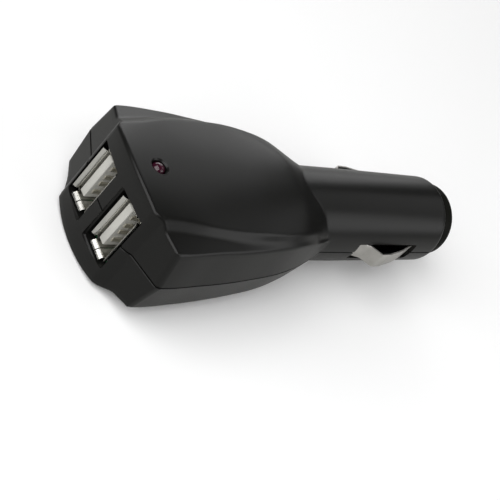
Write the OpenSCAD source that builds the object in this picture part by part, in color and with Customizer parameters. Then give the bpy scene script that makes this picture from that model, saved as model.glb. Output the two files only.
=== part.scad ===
// Car charger plug with two sockets: a head and barrel moulded in two halves, with what they hold.
// X runs along the plug towards its nose and Z towards the lamp. The halves meet at z = 0.
// The origin is on the barrel's axis, where the smooth seat behind the head begins.

/* [Head] */
// Length from the corners of the front face back to the seat
head_len = 54; // [50:1:60]
// Half width over the side wings, at the split
wing_half_w = 18.8; // [17.8:0.2:21]
// Height of the wings' outer edge above the split
wing_half_h = 8.9; // [8:0.1:9.4]
// Rise of the wing's top towards the foot of the raised panel
wing_rise = 0.9; // [0.4:0.1:1.2]
// Draft of the wing's sides, in degrees
wing_draft = 9; // [4:1:12]
// How far the wings start behind the front corners
wing_setback = 1.6; // [1.4:0.1:2.4]
// Sweep of the wing's front facet, in degrees
facet_sweep = 20; // [12:1:26]
// Radius of the cove between front block and wing
cove_r = 1.4; // [0.8:0.1:2]
// Rounding of the wing's front corner
wing_corner_r = 1.6; // [0.8:0.1:2.2]
// Half width of the front block
block_half_w = 10.8; // [10.6:0.1:11.6]
// Height of the front block's corners above the split
block_half_h = 11.3; // [11:0.1:12]
// Rise of the crowned panel above those corners
crown_rise = 1.2; // [0.8:0.1:1.6]
// How far the middle of the front face bulges
face_bulge = 1.3; // [0.8:0.1:2]
// Width of the foot of the step between wing and panel, at the front
step_foot = 2.1; // [1.4:0.1:2.4]
// Rounding of the ridges along the head
ridge_r = 0.7; // [0.3:0.1:1]
// Wall of the head
head_wall = 1.8; // [1.4:0.1:2]
// Thickness of the front wall at the block's corners
front_wall = 1.2; // [1:0.1:1.6]

/* [Barrel] */
// Radius of the smooth seat behind the head
barrel_r = 10.3; // [10.1:0.05:10.4]
// Radius at the nose end, after the draft
barrel_nose_r = 10; // [9.8:0.05:10.1]
// Length of the barrel from the seat to its rounded end
barrel_len = 36.2; // [35:0.2:40]
// Length of the smooth seat
seat_len = 7.8; // [7:0.2:7.8]
// Radius that rounds the nose end
shoulder_r = 1.3; // [1:0.1:1.5]
// Wall of the barrel
barrel_wall = 1.5; // [1.2:0.1:1.6]
// How far the side slots start ahead of the smooth seat
slot_set = 1.6; // [1.4:0.1:2]
// Length of the side slots
slot_len = 19.8; // [19.4:0.1:20.4]
// Clearance of a side contact in its slot, on each side
slot_gap = 0.35; // [0.25:0.05:0.5]

/* [Nose] */
// Length of the screwed ring in front of the barrel
ring_len = 4.4; // [3.6:0.1:6]
// Radius of the ring
ring_r = 8.6; // [8.3:0.05:8.65]
// Rounding of the ring's front edge
ring_round = 1.2; // [0.6:0.1:1.4]
// Radius of the ring's screwed neck
neck_r = 7.6; // [7.2:0.1:7.7]
// Length of the neck inside the barrel
neck_len = 6; // [4:0.2:6.4]
// Wall of the neck
neck_wall = 1.2; // [1:0.1:1.4]
// Thickness of the ring's front
ring_wall = 1.6; // [1.2:0.1:2]
// Running gap round the neck and the centre contact
run_gap = 0.2; // [0.1:0.05:0.3]
// Radius of the centre contact's pin
tip_r = 3.5; // [3.2:0.1:3.8]
// How far the centre contact stands out of the ring
tip_reach = 5; // [4:0.2:7]
// Thickness of the centre contact's flange
flange_t = 1.2; // [0.8:0.1:1.4]

/* [Fuse and spring] */
// Radius of the fuse's caps
fuse_r = 2.6; // [2.5:0.05:2.7]
// Length of the fuse
fuse_len = 20; // [19:0.2:20.4]
// Length of a fuse cap
fuse_cap_len = 5; // [4:0.2:6]
// Thickness of a fuse cap
fuse_cap_t = 0.2; // [0.15:0.05:0.3]
// Bore of the fuse's glass tube, as a radius
fuse_bore_r = 1.7; // [1.4:0.1:1.9]
// Radius of the fuse wire
fuse_wire_r = 0.15; // [0.1:0.01:0.25]
// Wall of the contact's cup round the fuse
cup_wall = 0.6; // [0.5:0.05:0.7]
// Depth of the cup
cup_depth = 3.6; // [2.4:0.2:4.4]
// Radius of the spring, to the wire's centre
spring_r = 2.3; // [2:0.1:2.4]
// Radius of the spring's wire
spring_wire_r = 0.3; // [0.25:0.01:0.35]
// Turns of the spring
spring_turns = 7; // [6:1:8]

/* [Side contacts] */
// Width of the contact strip
strip_w = 4.5; // [4:0.1:4.8]
// Thickness of the contact strip
strip_t = 0.45; // [0.35:0.05:0.5]
// How far the strip's crest stands out of the barrel
crest_reach = 2.2; // [1.6:0.1:2.4]
// Swing of a side contact when pushed in, in degrees
strip_swing = 8; // [7:0.5:8]

/* [Sockets] */
// Distance between the two sockets
port_pitch = 11.1; // [10.8:0.1:11.6]
// Length of a socket's opening, along Z
port_h = 13.2; // [13:0.1:13.4]
// Width of a socket, along Y
port_w = 5.8; // [5.6:0.1:6]
// Depth of a socket's metal shell
port_depth = 14; // [13:0.2:16]
// Thickness of the shell's sheet
sheet_t = 0.35; // [0.25:0.05:0.4]
// How far the shell's lips flare outwards
lip_flare = 0.6; // [0.4:0.05:0.7]
// Length of the lips
lip_len = 1.1; // [0.8:0.1:1.4]
// Gap between the lips and their pocket, along Z
pocket_gap = 0.25; // [0.2:0.05:0.35]
// Gap between the lips and their pocket, along Y
pocket_side_gap = 0.45; // [0.3:0.05:0.6]
// Length of the tongue along Z
tongue_h = 11.1; // [10.8:0.1:11.3]
// Thickness of the tongue
tongue_t = 1.84; // [1.6:0.02:2]
// Gap between the tongue's back and the shell
tongue_gap = 0.5; // [0.4:0.05:0.7]
// Depth of the tongue's end behind the lips
tongue_inset = 1; // [0.6:0.1:1.6]
// Depth of the insulator's solid back
back_len = 3.8; // [3:0.2:5]
// Width of a contact
contact_w = 1; // [0.8:0.05:1.2]
// Thickness of a contact
contact_t = 0.25; // [0.2:0.01:0.3]

/* [Lamp] */
// Radius of the lamp's lens
lens_r = 1.5; // [1.4:0.05:1.6]
// Gap between lens and hole
lens_gap = 0.12; // [0.08:0.02:0.2]
// Distance of the lamp behind the front corners
lens_back = 4.8; // [4.4:0.1:6]
// Length of the lens with its dome
lens_len = 5.2; // [5:0.1:5.6]
// Side of a lead's square section
lead_side = 0.5; // [0.4:0.05:0.6]

/* [Board] */
// Thickness of the circuit board
board_t = 1.6; // [1:0.1:1.6]
// How far the board stays behind the barrel's seat
board_back = 15.6; // [15.2:0.2:18]
// Half width of the board
board_half_w = 8.8; // [8.6:0.1:8.9]
// Radius of the input capacitor
cap_r = 4; // [3.6:0.1:4.2]
// Height of the input capacitor
cap_h = 9; // [8:0.2:10]
// Radius of the output capacitor
out_cap_r = 3.15; // [2.8:0.05:3.3]
// Height of the output capacitor
out_cap_h = 8; // [7:0.2:9]
// Radius of the inductor's core
coil_r = 4; // [3.6:0.1:4.1]
// Height of the inductor
coil_h = 5.4; // [4.6:0.1:6]
// Length of the regulator chip
chip_len = 5; // [4.6:0.1:5.4]
// Width of the regulator chip
chip_w = 4; // [3.6:0.1:4.2]
// Height of the regulator chip
chip_h = 1.5; // [1.2:0.1:1.8]
// Radius of the insulated leads
wire_r = 0.6; // [0.5:0.05:0.65]

/* [Hidden] */

// One overrun serves every cut
cut = 1;
// Sides of the sockets: the near one is at -Y
near = -1;
far = 1;

// The head's own places, from its corners back to the seat
face_x = -head_len;
crown_half_h = block_half_h + crown_rise;
// Radius at which the head's rear runs out under the barrel's skin
run_out_share = 0.955;
crest_out_share = 0.86;
out_r = barrel_r * run_out_share;
// Angles of the rails where they run out, above the split
edge_out_deg = 20;
root_out_deg = 22;
panel_out_deg = 28;
// How much of a gap between two rails a rounding may take
round_share = 0.3;
// Each table gives, along the head, how much is left of the way from the run-out to the front size
wing_shares = [[0, 0.97], [0.13, 1], [0.26, 0.955], [0.39, 0.9], [0.53, 0.805], [0.68, 0.665],
    [0.81, 0.455], [0.905, 0.235], [0.963, 0.08], [1, 0]];
edge_shares = [[0, 1], [0.28, 1], [0.41, 0.92], [0.56, 0.84], [0.72, 0.72], [0.815, 0.52],
    [0.89, 0.27], [0.963, 0.06], [1, 0]];
root_y_shares = [[0, 0.97], [0.11, 1.11], [0.23, 1.3], [0.35, 1.43], [0.48, 1.41], [0.65, 1.24],
    [0.815, 0.84], [0.89, 0.45], [0.963, 0.15], [1, 0]];
root_z_shares = [[0, 0.98], [0.11, 1.03], [0.23, 1.03], [0.35, 0.98], [0.48, 0.92], [0.65, 0.84],
    [0.815, 0.53], [0.89, 0.27], [0.963, 0.06], [1, 0]];
panel_y_shares = [[0, 1], [0.11, 1.26], [0.22, 1.78], [0.37, 2.14], [0.52, 2.24], [0.65, 1.97],
    [0.74, 1.64], [0.815, 1.2], [0.88, 0.72], [0.926, 0.32], [0.963, 0.12], [1, 0]];
panel_z_shares = [[0, 1], [0.11, 1.04], [0.22, 1.04], [0.37, 0.985], [0.52, 0.93], [0.65, 0.82],
    [0.74, 0.7], [0.815, 0.52], [0.88, 0.3], [0.926, 0.14], [0.963, 0.05], [1, 0]];
crest_shares = [[0, 1], [0.37, 1], [0.52, 0.96], [0.65, 0.84], [0.76, 0.67], [0.837, 0.41],
    [0.926, 0.14], [1, 0]];
// Where the head's sections are cut, as shares of its length
station_shares = [0, 0.05, 0.11, 0.18, 0.25, 0.32, 0.39, 0.46, 0.53, 0.6, 0.67, 0.73, 0.78, 0.83, 0.87,
    0.905, 0.94, 0.97, 1];
// Points across the crowned panel, as shares of its half width
crown_shares = [0.86, 0.7, 0.5, 0.25, 0, -0.25, -0.5, -0.7, -0.86];
// Fullness of the crown: 2 is a parabola
crown_power = 2.3;
// The head's skin starts ahead of its corners, and the bulged face cuts it
lead_share = -0.05;
// Pieces of an arc
arc_steps = 6;

// Barrel, nose and slot
bore_r = barrel_r - barrel_wall;
bore_back = 11;
barrel_back = 11.5;
back_swell = 0.06;
barrel_end = barrel_len + shoulder_r;
// Gap between pieces that touch or are pressed together
fit_gap = 0.05;
thread_r = neck_r + fit_gap;
thread_len = neck_len + run_gap;
slot_half_z = strip_w / 2 + slot_gap;
slot_x = seat_len + slot_set;
slot_end = slot_x + slot_len;
// The strip lies in a channel under the skin behind its slot
channel_len = 3.6;
channel_depth = 0.5;
ring_front = barrel_end + ring_len;
neck_bore_r = neck_r - neck_wall;
flange_front = ring_front - ring_wall - fit_gap;
flange_back = flange_front - flange_t;
flange_r = neck_bore_r - run_gap * 2;
tip_end = ring_front + tip_reach;
tip_round = 1.4;
sleeve_in_r = fuse_r + run_gap / 2;
fuse_front = flange_back - fit_gap;
fuse_back = fuse_front - fuse_len;
glass_r = fuse_r - fuse_cap_t;

// Spring cup and the wall that holds it
bulkhead_x = 2;
bulkhead_t = 2;
bulkhead_front = bulkhead_x + bulkhead_t;
cup_floor = 0.6;
cup_rim_t = 0.5;
cup_rim_w = 0.6;
cup_in_r = spring_r + spring_wire_r + fit_gap;
cup_body_r = cup_in_r + cup_wall;
spring_back = bulkhead_x;
spring_front = fuse_back - fit_gap;

// Side contact: it swings about its root, which sits in a clamp in each half
root_x = -1;
root_depth = 1;
root_y = bore_r - root_depth;
root_tail = 1.6;
clamp_back = 1.4;
clamp_front = 1;
clamp_in = 1.4;
clamp_out = 1.5;
clamp_cheek = 1.3;
root_gap = 0.35;
crest_y = barrel_r + crest_reach - strip_t / 2;
strip_back = root_x - root_tail;
strip_end_gap = 0.75;
// The strip's bends, as shares of its length and of the way out to its crest
bend_shares = [[0, 0], [0.264, 0], [0.515, 0.47], [0.593, 1], [0.673, 0.98], [0.84, 0.715], [0.96, 0.4],
    [1, 0.145]];
bend_len = 0.9;
bend_steps = 4;
// The bulkhead's notch lets the strip swing in
notch_gap = 0.8;
notch_depth = root_depth + strip_t / 2 + (bulkhead_front - root_x) * tan(strip_swing) + notch_gap;

// Pins that line up the halves, each with its place along the head and its gap from the wing's wall
pin_r = 0.9;
pin_gap = 0.08;
pin_len = 2.4;
boss_r = 1.8;
boss_embed_share = 0.4;
boss_place_shares = [0.23, 0.62];

// Sockets
mouth_bow = 0.35;
pocket_half_w = port_w / 2 + lip_flare + pocket_side_gap;
pocket_half_h = port_h / 2 + lip_flare + pocket_gap;
port_y = port_pitch / 2;
mouth_x = face_x - mouth_bow;
shell_end = mouth_x + port_depth;
back_x = shell_end - back_len;
tongue_far = port_w / 2 - sheet_t - tongue_gap;
tongue_near = tongue_far - tongue_t;
contact_step = 2.5;
contact_mid_step = 1;
contact_places = [-contact_mid_step - contact_step, -contact_mid_step, contact_mid_step,
    contact_mid_step + contact_step];
contact_bow = 0.35;
contact_inset = 1;
contact_bow_back = 2.6;
contact_bow_len = 2;
leg_x = 0.6;
leg_step = 1;
leg_w = 0.6;

// Board and what stands on it
board_front_gap = 1;
board_x = face_x + front_wall + board_front_gap;
board_len = -board_back - board_x;
board_z = -port_h / 2;
board_under = board_z - board_t;
post_r = 1;
post_foot = 0.5;
post_place_shares = [0.15, 0.47];
post_y_share = 0.62;
part_gap = 0.3;

// Leads, each with its route as shares of the way along X and up from the board
wire_sides = 8;
wire_end_gap = 0.15;
wire_edge = 0.9;
wire_x = -board_back - wire_edge;
wire_shares = [[0, 0], [0, 0.12], [0, 0.25], [0.17, 0.66], [0.42, 0.93], [0.7, 1], [1, 1]];

// The tall parts stand in a row ahead of the leads, and the output capacitor behind the sockets
row_x = wire_x - wire_r - part_gap - cap_r;
cap_y = cap_r + part_gap / 2;
coil_y = -coil_r - part_gap / 2;
out_cap_x = shell_end + part_gap + out_cap_r;
cap_bead = 0.3;
cap_bead_z = 1.5;
cap_base_t = 0.8;
coil_lip = 0.8;
coil_core_r = 1.9;
coil_wind_gap = 0.35;

// The flat parts are soldered under the board, the regulator below the row
chip_lift = 0.12;
leg_out = 1;
leg_t = 0.2;
leg_half_w = 0.2;
leg_pitch = 1.27;
legs_a_side = 4;
diode_len = 4.3;
diode_w = 2.3;
diode_h = 1.9;
small_len = 1.6;
small_w = 0.8;
small_h = 0.5;
small_gap = 0.5;
resistor_rows = [-2, -1, 0, 1];
resistor_step = 1.6;
resistor_x = row_x - chip_len / 2 - small_len / 2 - small_gap;
ceramic_len = 2;
ceramic_w = 1.25;
ceramic_h = 0.9;
ceramic_rows = [-1, 0, 1];
ceramic_step = 2.4;
ceramic_x = row_x + chip_len / 2 + ceramic_len / 2 + small_gap;

// Smooth curve through a table of place and share
function seg(tab, t, i = 0) = (i >= len(tab) - 2 || t <= tab[i + 1][0]) ? i : seg(tab, t, i + 1);
function slope(tab, i) =
    let (a = max(i - 1, 0), b = min(i + 1, len(tab) - 1))
    (tab[b][1] - tab[a][1]) / (tab[b][0] - tab[a][0]);
function curve(tab, t) =
    let (i = seg(tab, t), w = tab[i + 1][0] - tab[i][0], u = (t - tab[i][0]) / w)
    let (u2 = u * u, u3 = u2 * u)
    (2 * u3 - 3 * u2 + 1) * tab[i][1] + (u3 - 2 * u2 + u) * w * slope(tab, i)
    + (3 * u2 - 2 * u3) * tab[i + 1][1] + (u3 - u2) * w * slope(tab, i + 1);
function blend(out, front, tab, t) = out + (front - out) * curve(tab, max(t, 0));

// The head's rails in cross-section at share t: [y, z] from the split up to the panel's edge
function side_pt(t) = [blend(out_r, wing_half_w, wing_shares, t), 0];
function edge_z(t) = blend(out_r * sin(edge_out_deg), wing_half_h, edge_shares, t);
// The draft eases off where the wing runs out on the round barrel
function edge_pt(t) =
    let (z = edge_z(t), drafted = side_pt(t)[0] - z * tan(wing_draft))
    [min(drafted, side_pt(t)[0]), z];
function root_pt(t) = [
    blend(out_r * cos(root_out_deg) - ridge_r / 2, block_half_w + step_foot, root_y_shares, t),
    blend(out_r * sin(root_out_deg), wing_half_h + wing_rise, root_z_shares, t)];
function panel_pt(t) = [
    blend(out_r * cos(panel_out_deg), block_half_w, panel_y_shares, t),
    blend(out_r * sin(panel_out_deg), block_half_h, panel_z_shares, t)];
function crest_z(t) = blend(barrel_r * crest_out_share, crown_half_h, crest_shares, t);

function shift(p, d) = [p[0] - d, p[1] - d];
function toward(p, q, d) = p + min(d, norm(q - p) * round_share) * (q - p) / norm(q - p);
function crown_z(p, crest, share) = crest - (crest - p[1]) * pow(abs(share), crown_power);

// Right half of the section, from the split to the panel's edge, taken in by a wall d
function rail_pts(t, d) =
    let (a = side_pt(t) - [d, 0], b = shift(edge_pt(t), d), c = shift(root_pt(t), d), e = shift(panel_pt(t), d))
    [a, toward(b, a, ridge_r), toward(b, c, ridge_r), toward(c, b, ridge_r), toward(c, e, ridge_r),
        toward(e, c, ridge_r)];
function section(t, d) =
    let (right = rail_pts(t, d), e = shift(panel_pt(t), d), crest = crest_z(t) - d)
    concat(right, [for (s = crown_shares) [e[0] * s, crown_z(e, crest, s)]],
        [for (i = [len(right) - 1 : -1 : 0]) [-right[i][0], right[i][1]]]);

// A closed skin through the sections, with its flat side on the split
module head_loft(shares, d) {
    rings = [for (t = shares) section(t, d)];
    n = len(rings[0]);
    last = len(shares) - 1;
    points = [for (i = [0 : last]) for (p = rings[i]) [face_x + shares[i] * head_len, p[0], p[1]]];
    front_cap = [[for (j = [0 : n - 1]) j]];
    rear_cap = [[for (j = [n - 1 : -1 : 0]) last * n + j]];
    sides = [for (i = [0 : last - 1]) for (j = [0 : n - 1])
        let (a = i * n + j, b = i * n + (j + 1) % n, c = b + n, e = a + n)
        each [[a, e, c], [a, c, b]]];
    polyhedron(points, concat(front_cap, rear_cap, sides));
}

function arc_pts(c, r, from, to, steps = arc_steps) =
    [for (i = [0 : steps]) let (a = from + (to - from) * i / steps) c + r * [cos(a), sin(a)]];

// Plan of the cove and facet in front of one wing, grown by the wall d for the inside
function cove_centre() = [face_x + wing_setback - cove_r, block_half_w + cove_r];
function facet_pt(d, y) =
    let (p = cove_centre() + (cove_r + d) * [cos(facet_sweep), -sin(facet_sweep)])
    [p[0] + (y - p[1]) * tan(facet_sweep), y];
module facet_plan(d) {
    front = face_x - face_bulge - cut;
    out = wing_half_w + cut;
    polygon(concat([[front, block_half_w - d]], arc_pts(cove_centre(), cove_r + d, -90, -facet_sweep),
        [facet_pt(d, out), [front, out]]));
}

// Plan of the rounding between facet and side
module corner_plan(d) {
    r = max(wing_corner_r - d, ridge_r);
    y = wing_half_w - d - r;
    centre = [facet_pt(d, y)[0] + r / cos(facet_sweep), y];
    out = wing_half_w + cut;
    polygon(concat(arc_pts(centre, r, 180 - facet_sweep, 90), [[centre[0], out], facet_pt(d, out)]));
}

// The corner's cut leans with the side's draft and slides along the facet
module wing_front(d) {
    lean = tan(wing_draft);
    slide = lean * tan(facet_sweep);
    tall = crown_half_h + cut;
    for (side = [near, far])
        scale([1, side, 1]) {
            translate([0, 0, -cut]) linear_extrude(tall + cut) facet_plan(d);
            multmatrix([[1, 0, -slide, 0], [0, 1, -lean, 0], [0, 0, 1, 0], [0, 0, 0, 1]])
                linear_extrude(tall) corner_plan(d);
        }
}

// Upright cylinder whose wall is the front face
module face_cylinder() {
    face_r = (pow(block_half_w, 2) + pow(face_bulge, 2)) / (2 * face_bulge);
    translate([face_x - face_bulge + face_r, 0, -cut])
        cylinder(r = face_r, h = crown_half_h + 2 * cut, $fn = 180);
}

module head_half() {
    difference() {
        intersection() {
            head_loft(concat([lead_share], station_shares), 0);
            face_cylinder();
        }
        wing_front(0);
    }
}

module head_cavity() {
    inner_shares = [for (t = station_shares) if (t < 1) t];
    difference() {
        head_loft(inner_shares, head_wall);
        wing_front(head_wall);
        translate([face_x - cut, -wing_half_w, -cut])
            cube([front_wall + cut, 2 * wing_half_w, crown_half_h + 2 * cut]);
    }
}

// Revolve a profile of [x, radius] points about the plug's axis
module revolve(profile) {
    rotate([0, 90, 0])
        rotate_extrude($fn = 96) polygon([for (p = profile) [p[1], p[0]]]);
}

module axis_rod(x, r, length) {
    translate([x, 0, 0]) rotate([0, 90, 0]) cylinder(r = r, h = length, $fn = 64);
}

module above_split() {
    translate([-head_len, -wing_half_w, 0]) cube([head_len + ring_front, 2 * wing_half_w, wing_half_w]);
}

module barrel_half() {
    intersection() {
        revolve(concat([[-barrel_back, 0], [-barrel_back, barrel_r + back_swell], [0, barrel_r],
            [seat_len, barrel_r], [barrel_len, barrel_nose_r]],
            [for (p = arc_pts([0, 0], shoulder_r, 90, 0)) [barrel_len + p[0], barrel_nose_r - shoulder_r + p[1]]],
            [[barrel_end, 0]]));
        above_split();
    }
}

// The bore narrows with the barrel, so that its wall keeps its thickness up to the thread
module barrel_bore() {
    thread_x = barrel_end - thread_len;
    revolve([[-bore_back, 0], [-bore_back, bore_r], [seat_len, bore_r], [thread_x, barrel_nose_r - barrel_wall],
        [thread_x, 0]]);
    axis_rod(-bore_back, thread_r, bore_back + barrel_end + cut);
}

module side_slots() {
    for (side = [near, far])
        scale([1, side, 1]) {
            translate([slot_x, bore_r - barrel_wall, -cut])
                cube([slot_len, barrel_wall * 2 + cut, slot_half_z + cut]);
            translate([slot_x - channel_len, bore_r - barrel_wall, -cut])
                cube([channel_len + cut, barrel_wall + channel_depth, slot_half_z + cut]);
        }
}

module port_pockets() {
    for (side = [near, far])
        translate([face_x - face_bulge - cut, side * port_y - pocket_half_w, -cut])
            cube([face_bulge + front_wall + 2 * cut, 2 * pocket_half_w, pocket_half_h + cut]);
}

function boss_y(t) = side_pt(t)[0] - head_wall - boss_r - ridge_r;
module at_bosses() {
    for (t = boss_place_shares)
        for (side = [near, far])
            translate([face_x + t * head_len, side * boss_y(t), 0]) children();
}
module boss(t) {
    cylinder(r = boss_r, h = edge_z(t) - head_wall * boss_embed_share, $fn = 32);
}
module bosses() {
    for (t = boss_place_shares)
        for (side = [near, far])
            translate([face_x + t * head_len, side * boss_y(t), 0]) boss(t);
}

// Wall across the barrel that holds the spring's cup, notched for the side contacts
module bulkhead() {
    difference() {
        intersection() {
            axis_rod(bulkhead_x, bore_r + barrel_wall / 2, bulkhead_t);
            above_split();
        }
        axis_rod(bulkhead_x - cut, cup_body_r + fit_gap, bulkhead_t + 2 * cut);
        for (side = [near, far])
            translate([bulkhead_x - cut, side > 0 ? bore_r - notch_depth : -bore_r - barrel_wall, -cut])
                cube([bulkhead_t + 2 * cut, notch_depth + barrel_wall, slot_half_z + cut]);
    }
}

// Clamp round the root of each side contact
module root_clamps() {
    for (side = [near, far])
        scale([1, side, 1])
            difference() {
                translate([root_x - clamp_back, root_y - clamp_in, 0])
                    cube([clamp_back + clamp_front, clamp_in + clamp_out, slot_half_z + clamp_cheek]);
                translate([root_x - clamp_back - cut, root_y - strip_t / 2 - root_gap, -cut])
                    cube([clamp_back + clamp_front + 2 * cut, strip_t + 2 * root_gap, slot_half_z + cut]);
            }
}

module half_housing() {
    difference() {
        union() {
            head_half();
            barrel_half();
        }
        head_cavity();
        barrel_bore();
        side_slots();
        port_pockets();
    }
    bosses();
    bulkhead();
    root_clamps();
}

module top_housing() {
    color("#2b2d2f")
        difference() {
            half_housing();
            translate([face_x + lens_back, 0, 0])
                cylinder(r = lens_r + lens_gap, h = crown_half_h + cut, $fn = 48);
            at_bosses()
                translate([0, 0, -cut]) cylinder(r = pin_r + pin_gap, h = pin_len + pin_gap + cut, $fn = 24);
        }
}

module bottom_housing() {
    color("#2b2d2f") {
        mirror([0, 0, 1]) half_housing();
        at_bosses()
            translate([0, 0, -post_foot]) cylinder(r = pin_r, h = pin_len + post_foot, $fn = 24);
        board_posts();
    }
}

// Posts that carry the board off the floor of the bottom half
module board_posts() {
    for (t = post_place_shares)
        for (side = [near, far])
            translate([face_x + t * head_len, side * board_half_w * post_y_share, -crest_z(t) + post_foot])
                cylinder(r = post_r, h = crest_z(t) - post_foot + board_z - board_t, $fn = 24);
}

module nose_ring() {
    color("#1c1d1b")
        revolve(concat([[barrel_end - neck_len, neck_bore_r], [barrel_end - neck_len, neck_r],
            [barrel_end, neck_r], [barrel_end, ring_r]],
            [for (p = arc_pts([0, 0], ring_round, 90, 0))
                [ring_front - ring_round + p[0], ring_r - ring_round + p[1]]],
            [[ring_front, tip_r + run_gap * 2], [ring_front - ring_wall, tip_r + run_gap * 2],
                [ring_front - ring_wall, neck_bore_r]]));
}

module centre_contact() {
    color("#c9c6bd")
        revolve(concat([[flange_back, 0], [flange_back, sleeve_in_r],
            [flange_back - cup_depth, sleeve_in_r], [flange_back - cup_depth, sleeve_in_r + cup_wall],
            [flange_back, sleeve_in_r + cup_wall], [flange_back, flange_r], [flange_front, flange_r],
            [flange_front, tip_r]],
            [for (p = arc_pts([0, 0], tip_round, 90, 0)) [tip_end - tip_round + p[0], tip_r - tip_round + p[1]]],
            [[tip_end, 0]]));
}

module fuse_tube() {
    color("#dfe8ea")
        difference() {
            axis_rod(fuse_back + fuse_cap_t, glass_r, fuse_len - 2 * fuse_cap_t);
            axis_rod(fuse_back - cut, fuse_bore_r, fuse_len + 2 * cut);
        }
}

module fuse_cap(x) {
    revolve([[x, 0], [x, fuse_r], [x + fuse_cap_len, fuse_r], [x + fuse_cap_len, glass_r],
        [x + fuse_cap_t, glass_r], [x + fuse_cap_t, 0]]);
}

module fuse_rear_cap() {
    color("#cfd0cf") fuse_cap(fuse_back);
}

module fuse_front_cap() {
    color("#cfd0cf")
        translate([fuse_front + fuse_back, 0, 0]) mirror([1, 0, 0]) fuse_cap(fuse_back);
}

module fuse_wire() {
    color("#b8b2a0") axis_rod(fuse_back + fuse_cap_t, fuse_wire_r, fuse_len - 2 * fuse_cap_t);
}

// Points rounded through their corners
function mid_pt(a, b, c, e, u) =
    let (u2 = u * u, u3 = u2 * u)
    (2 * b + (c - a) * u + (2 * a - 5 * b + 4 * c - e) * u2 + (3 * b - a - 3 * c + e) * u3) / 2;
function smooth(pts, steps) =
    let (last = len(pts) - 1)
    concat([for (i = [0 : last - 1]) for (k = [0 : steps - 1])
        mid_pt(pts[max(i - 1, 0)], pts[i], pts[i + 1], pts[min(i + 2, last)], k / steps)], [pts[last]]);

// Skin swept along a row of points, each ring square to the way there
function unit(v) = v / norm(v);
function heading(pts, i) = unit(pts[min(i + 1, len(pts) - 1)] - pts[max(i - 1, 0)]);
function ring_at(p, dir, ref, r, sides) =
    let (u = unit(cross(dir, ref)), v = cross(dir, u))
    [for (k = [0 : sides - 1]) let (a = 360 * k / sides) p + r * (cos(a) * u + sin(a) * v)];
module sweep(pts, r, sides, ref) {
    n = len(pts);
    points = [for (i = [0 : n - 1]) each ring_at(pts[i], heading(pts, i), ref, r, sides)];
    sides_f = [for (i = [0 : n - 2]) for (k = [0 : sides - 1])
        let (a = i * sides + k, b = i * sides + (k + 1) % sides)
        each [[a, b, b + sides], [a, b + sides, a + sides]]];
    polyhedron(points, concat([[for (k = [sides - 1 : -1 : 0]) k]],
        [[for (k = [0 : sides - 1]) (n - 1) * sides + k]], sides_f));
}

// Spring with a closed turn at each end
spring_steps = 14;
spring_end_share = 0.12;
// Pitch of the closed turns, as a share of the wire's thickness
spring_lie_share = 1.05;
function spring_rise(u) =
    u < spring_end_share ? 0 : u > 1 - spring_end_share ? 1 : (u - spring_end_share) / (1 - 2 * spring_end_share);
module contact_spring() {
    x0 = spring_back + spring_wire_r;
    x1 = spring_front - spring_wire_r;
    count = spring_turns * spring_steps;
    lie = 2 * spring_wire_r * spring_lie_share;
    pts = [for (i = [0 : count])
        let (u = i / count, a = 360 * spring_turns * u, ends = lie * (min(u, spring_end_share)
            + max(u - 1 + spring_end_share, 0)) * spring_turns,
            x = x0 + ends + (x1 - x0 - 2 * lie * spring_end_share * spring_turns) * spring_rise(u))
        [x, spring_r * cos(a), spring_r * sin(a)]];
    color("#b9bcc0") sweep(pts, spring_wire_r, wire_sides, [1, 0, 0]);
}

module spring_cup() {
    color("#c9c6bd")
        revolve([[bulkhead_x - cup_floor, 0], [bulkhead_x - cup_floor, cup_body_r], [bulkhead_front, cup_body_r],
            [bulkhead_front, cup_body_r + cup_rim_w], [bulkhead_front + cup_rim_t, cup_body_r + cup_rim_w],
            [bulkhead_front + cup_rim_t, cup_in_r], [bulkhead_x, cup_in_r], [bulkhead_x, 0]]);
}

// Middle line of a side contact in plan, from its root to its tucked-in end, with its bends rounded
function bend_pts(a, b, c) =
    let (p = toward(b, a, bend_len), q = toward(b, c, bend_len))
    [for (k = [0 : bend_steps]) let (u = k / bend_steps) (1 - u) * (1 - u) * p + 2 * u * (1 - u) * b + u * u * q];
function strip_line() =
    let (run = slot_end - strip_end_gap - strip_back, last = len(bend_shares) - 1,
        pts = [for (s = bend_shares) [strip_back + run * s[0], root_y + (crest_y - root_y) * s[1]]])
    concat([pts[0]], [for (i = [1 : last - 1]) each bend_pts(pts[i - 1], pts[i], pts[i + 1])], [pts[last]]);
function side_step(pts, i) = let (h = heading(pts, i)) [-h[1], h[0]] * strip_t / 2;

module side_contact(side) {
    line = strip_line();
    n = len(line);
    outline = concat([for (i = [0 : n - 1]) line[i] + side_step(line, i)],
        [for (i = [n - 1 : -1 : 0]) line[i] - side_step(line, i)]);
    color("#9a9a96")
        scale([1, side, 1])
            translate([0, 0, -strip_w / 2]) linear_extrude(strip_w) polygon(outline);
}

module circuit_board() {
    color("#1f5a33")
        translate([board_x, -board_half_w, board_z - board_t])
            cube([board_len, 2 * board_half_w, board_t]);
}

// One lip of a socket's mouth, flared outwards, along a side of length span
module lip(span) {
    flare = [[lip_len, 0], [0, lip_flare], [sheet_t / 2, lip_flare + sheet_t / 2], [lip_len, sheet_t]];
    translate([0, 0, -span / 2]) linear_extrude(span) polygon(flare);
}

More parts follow.
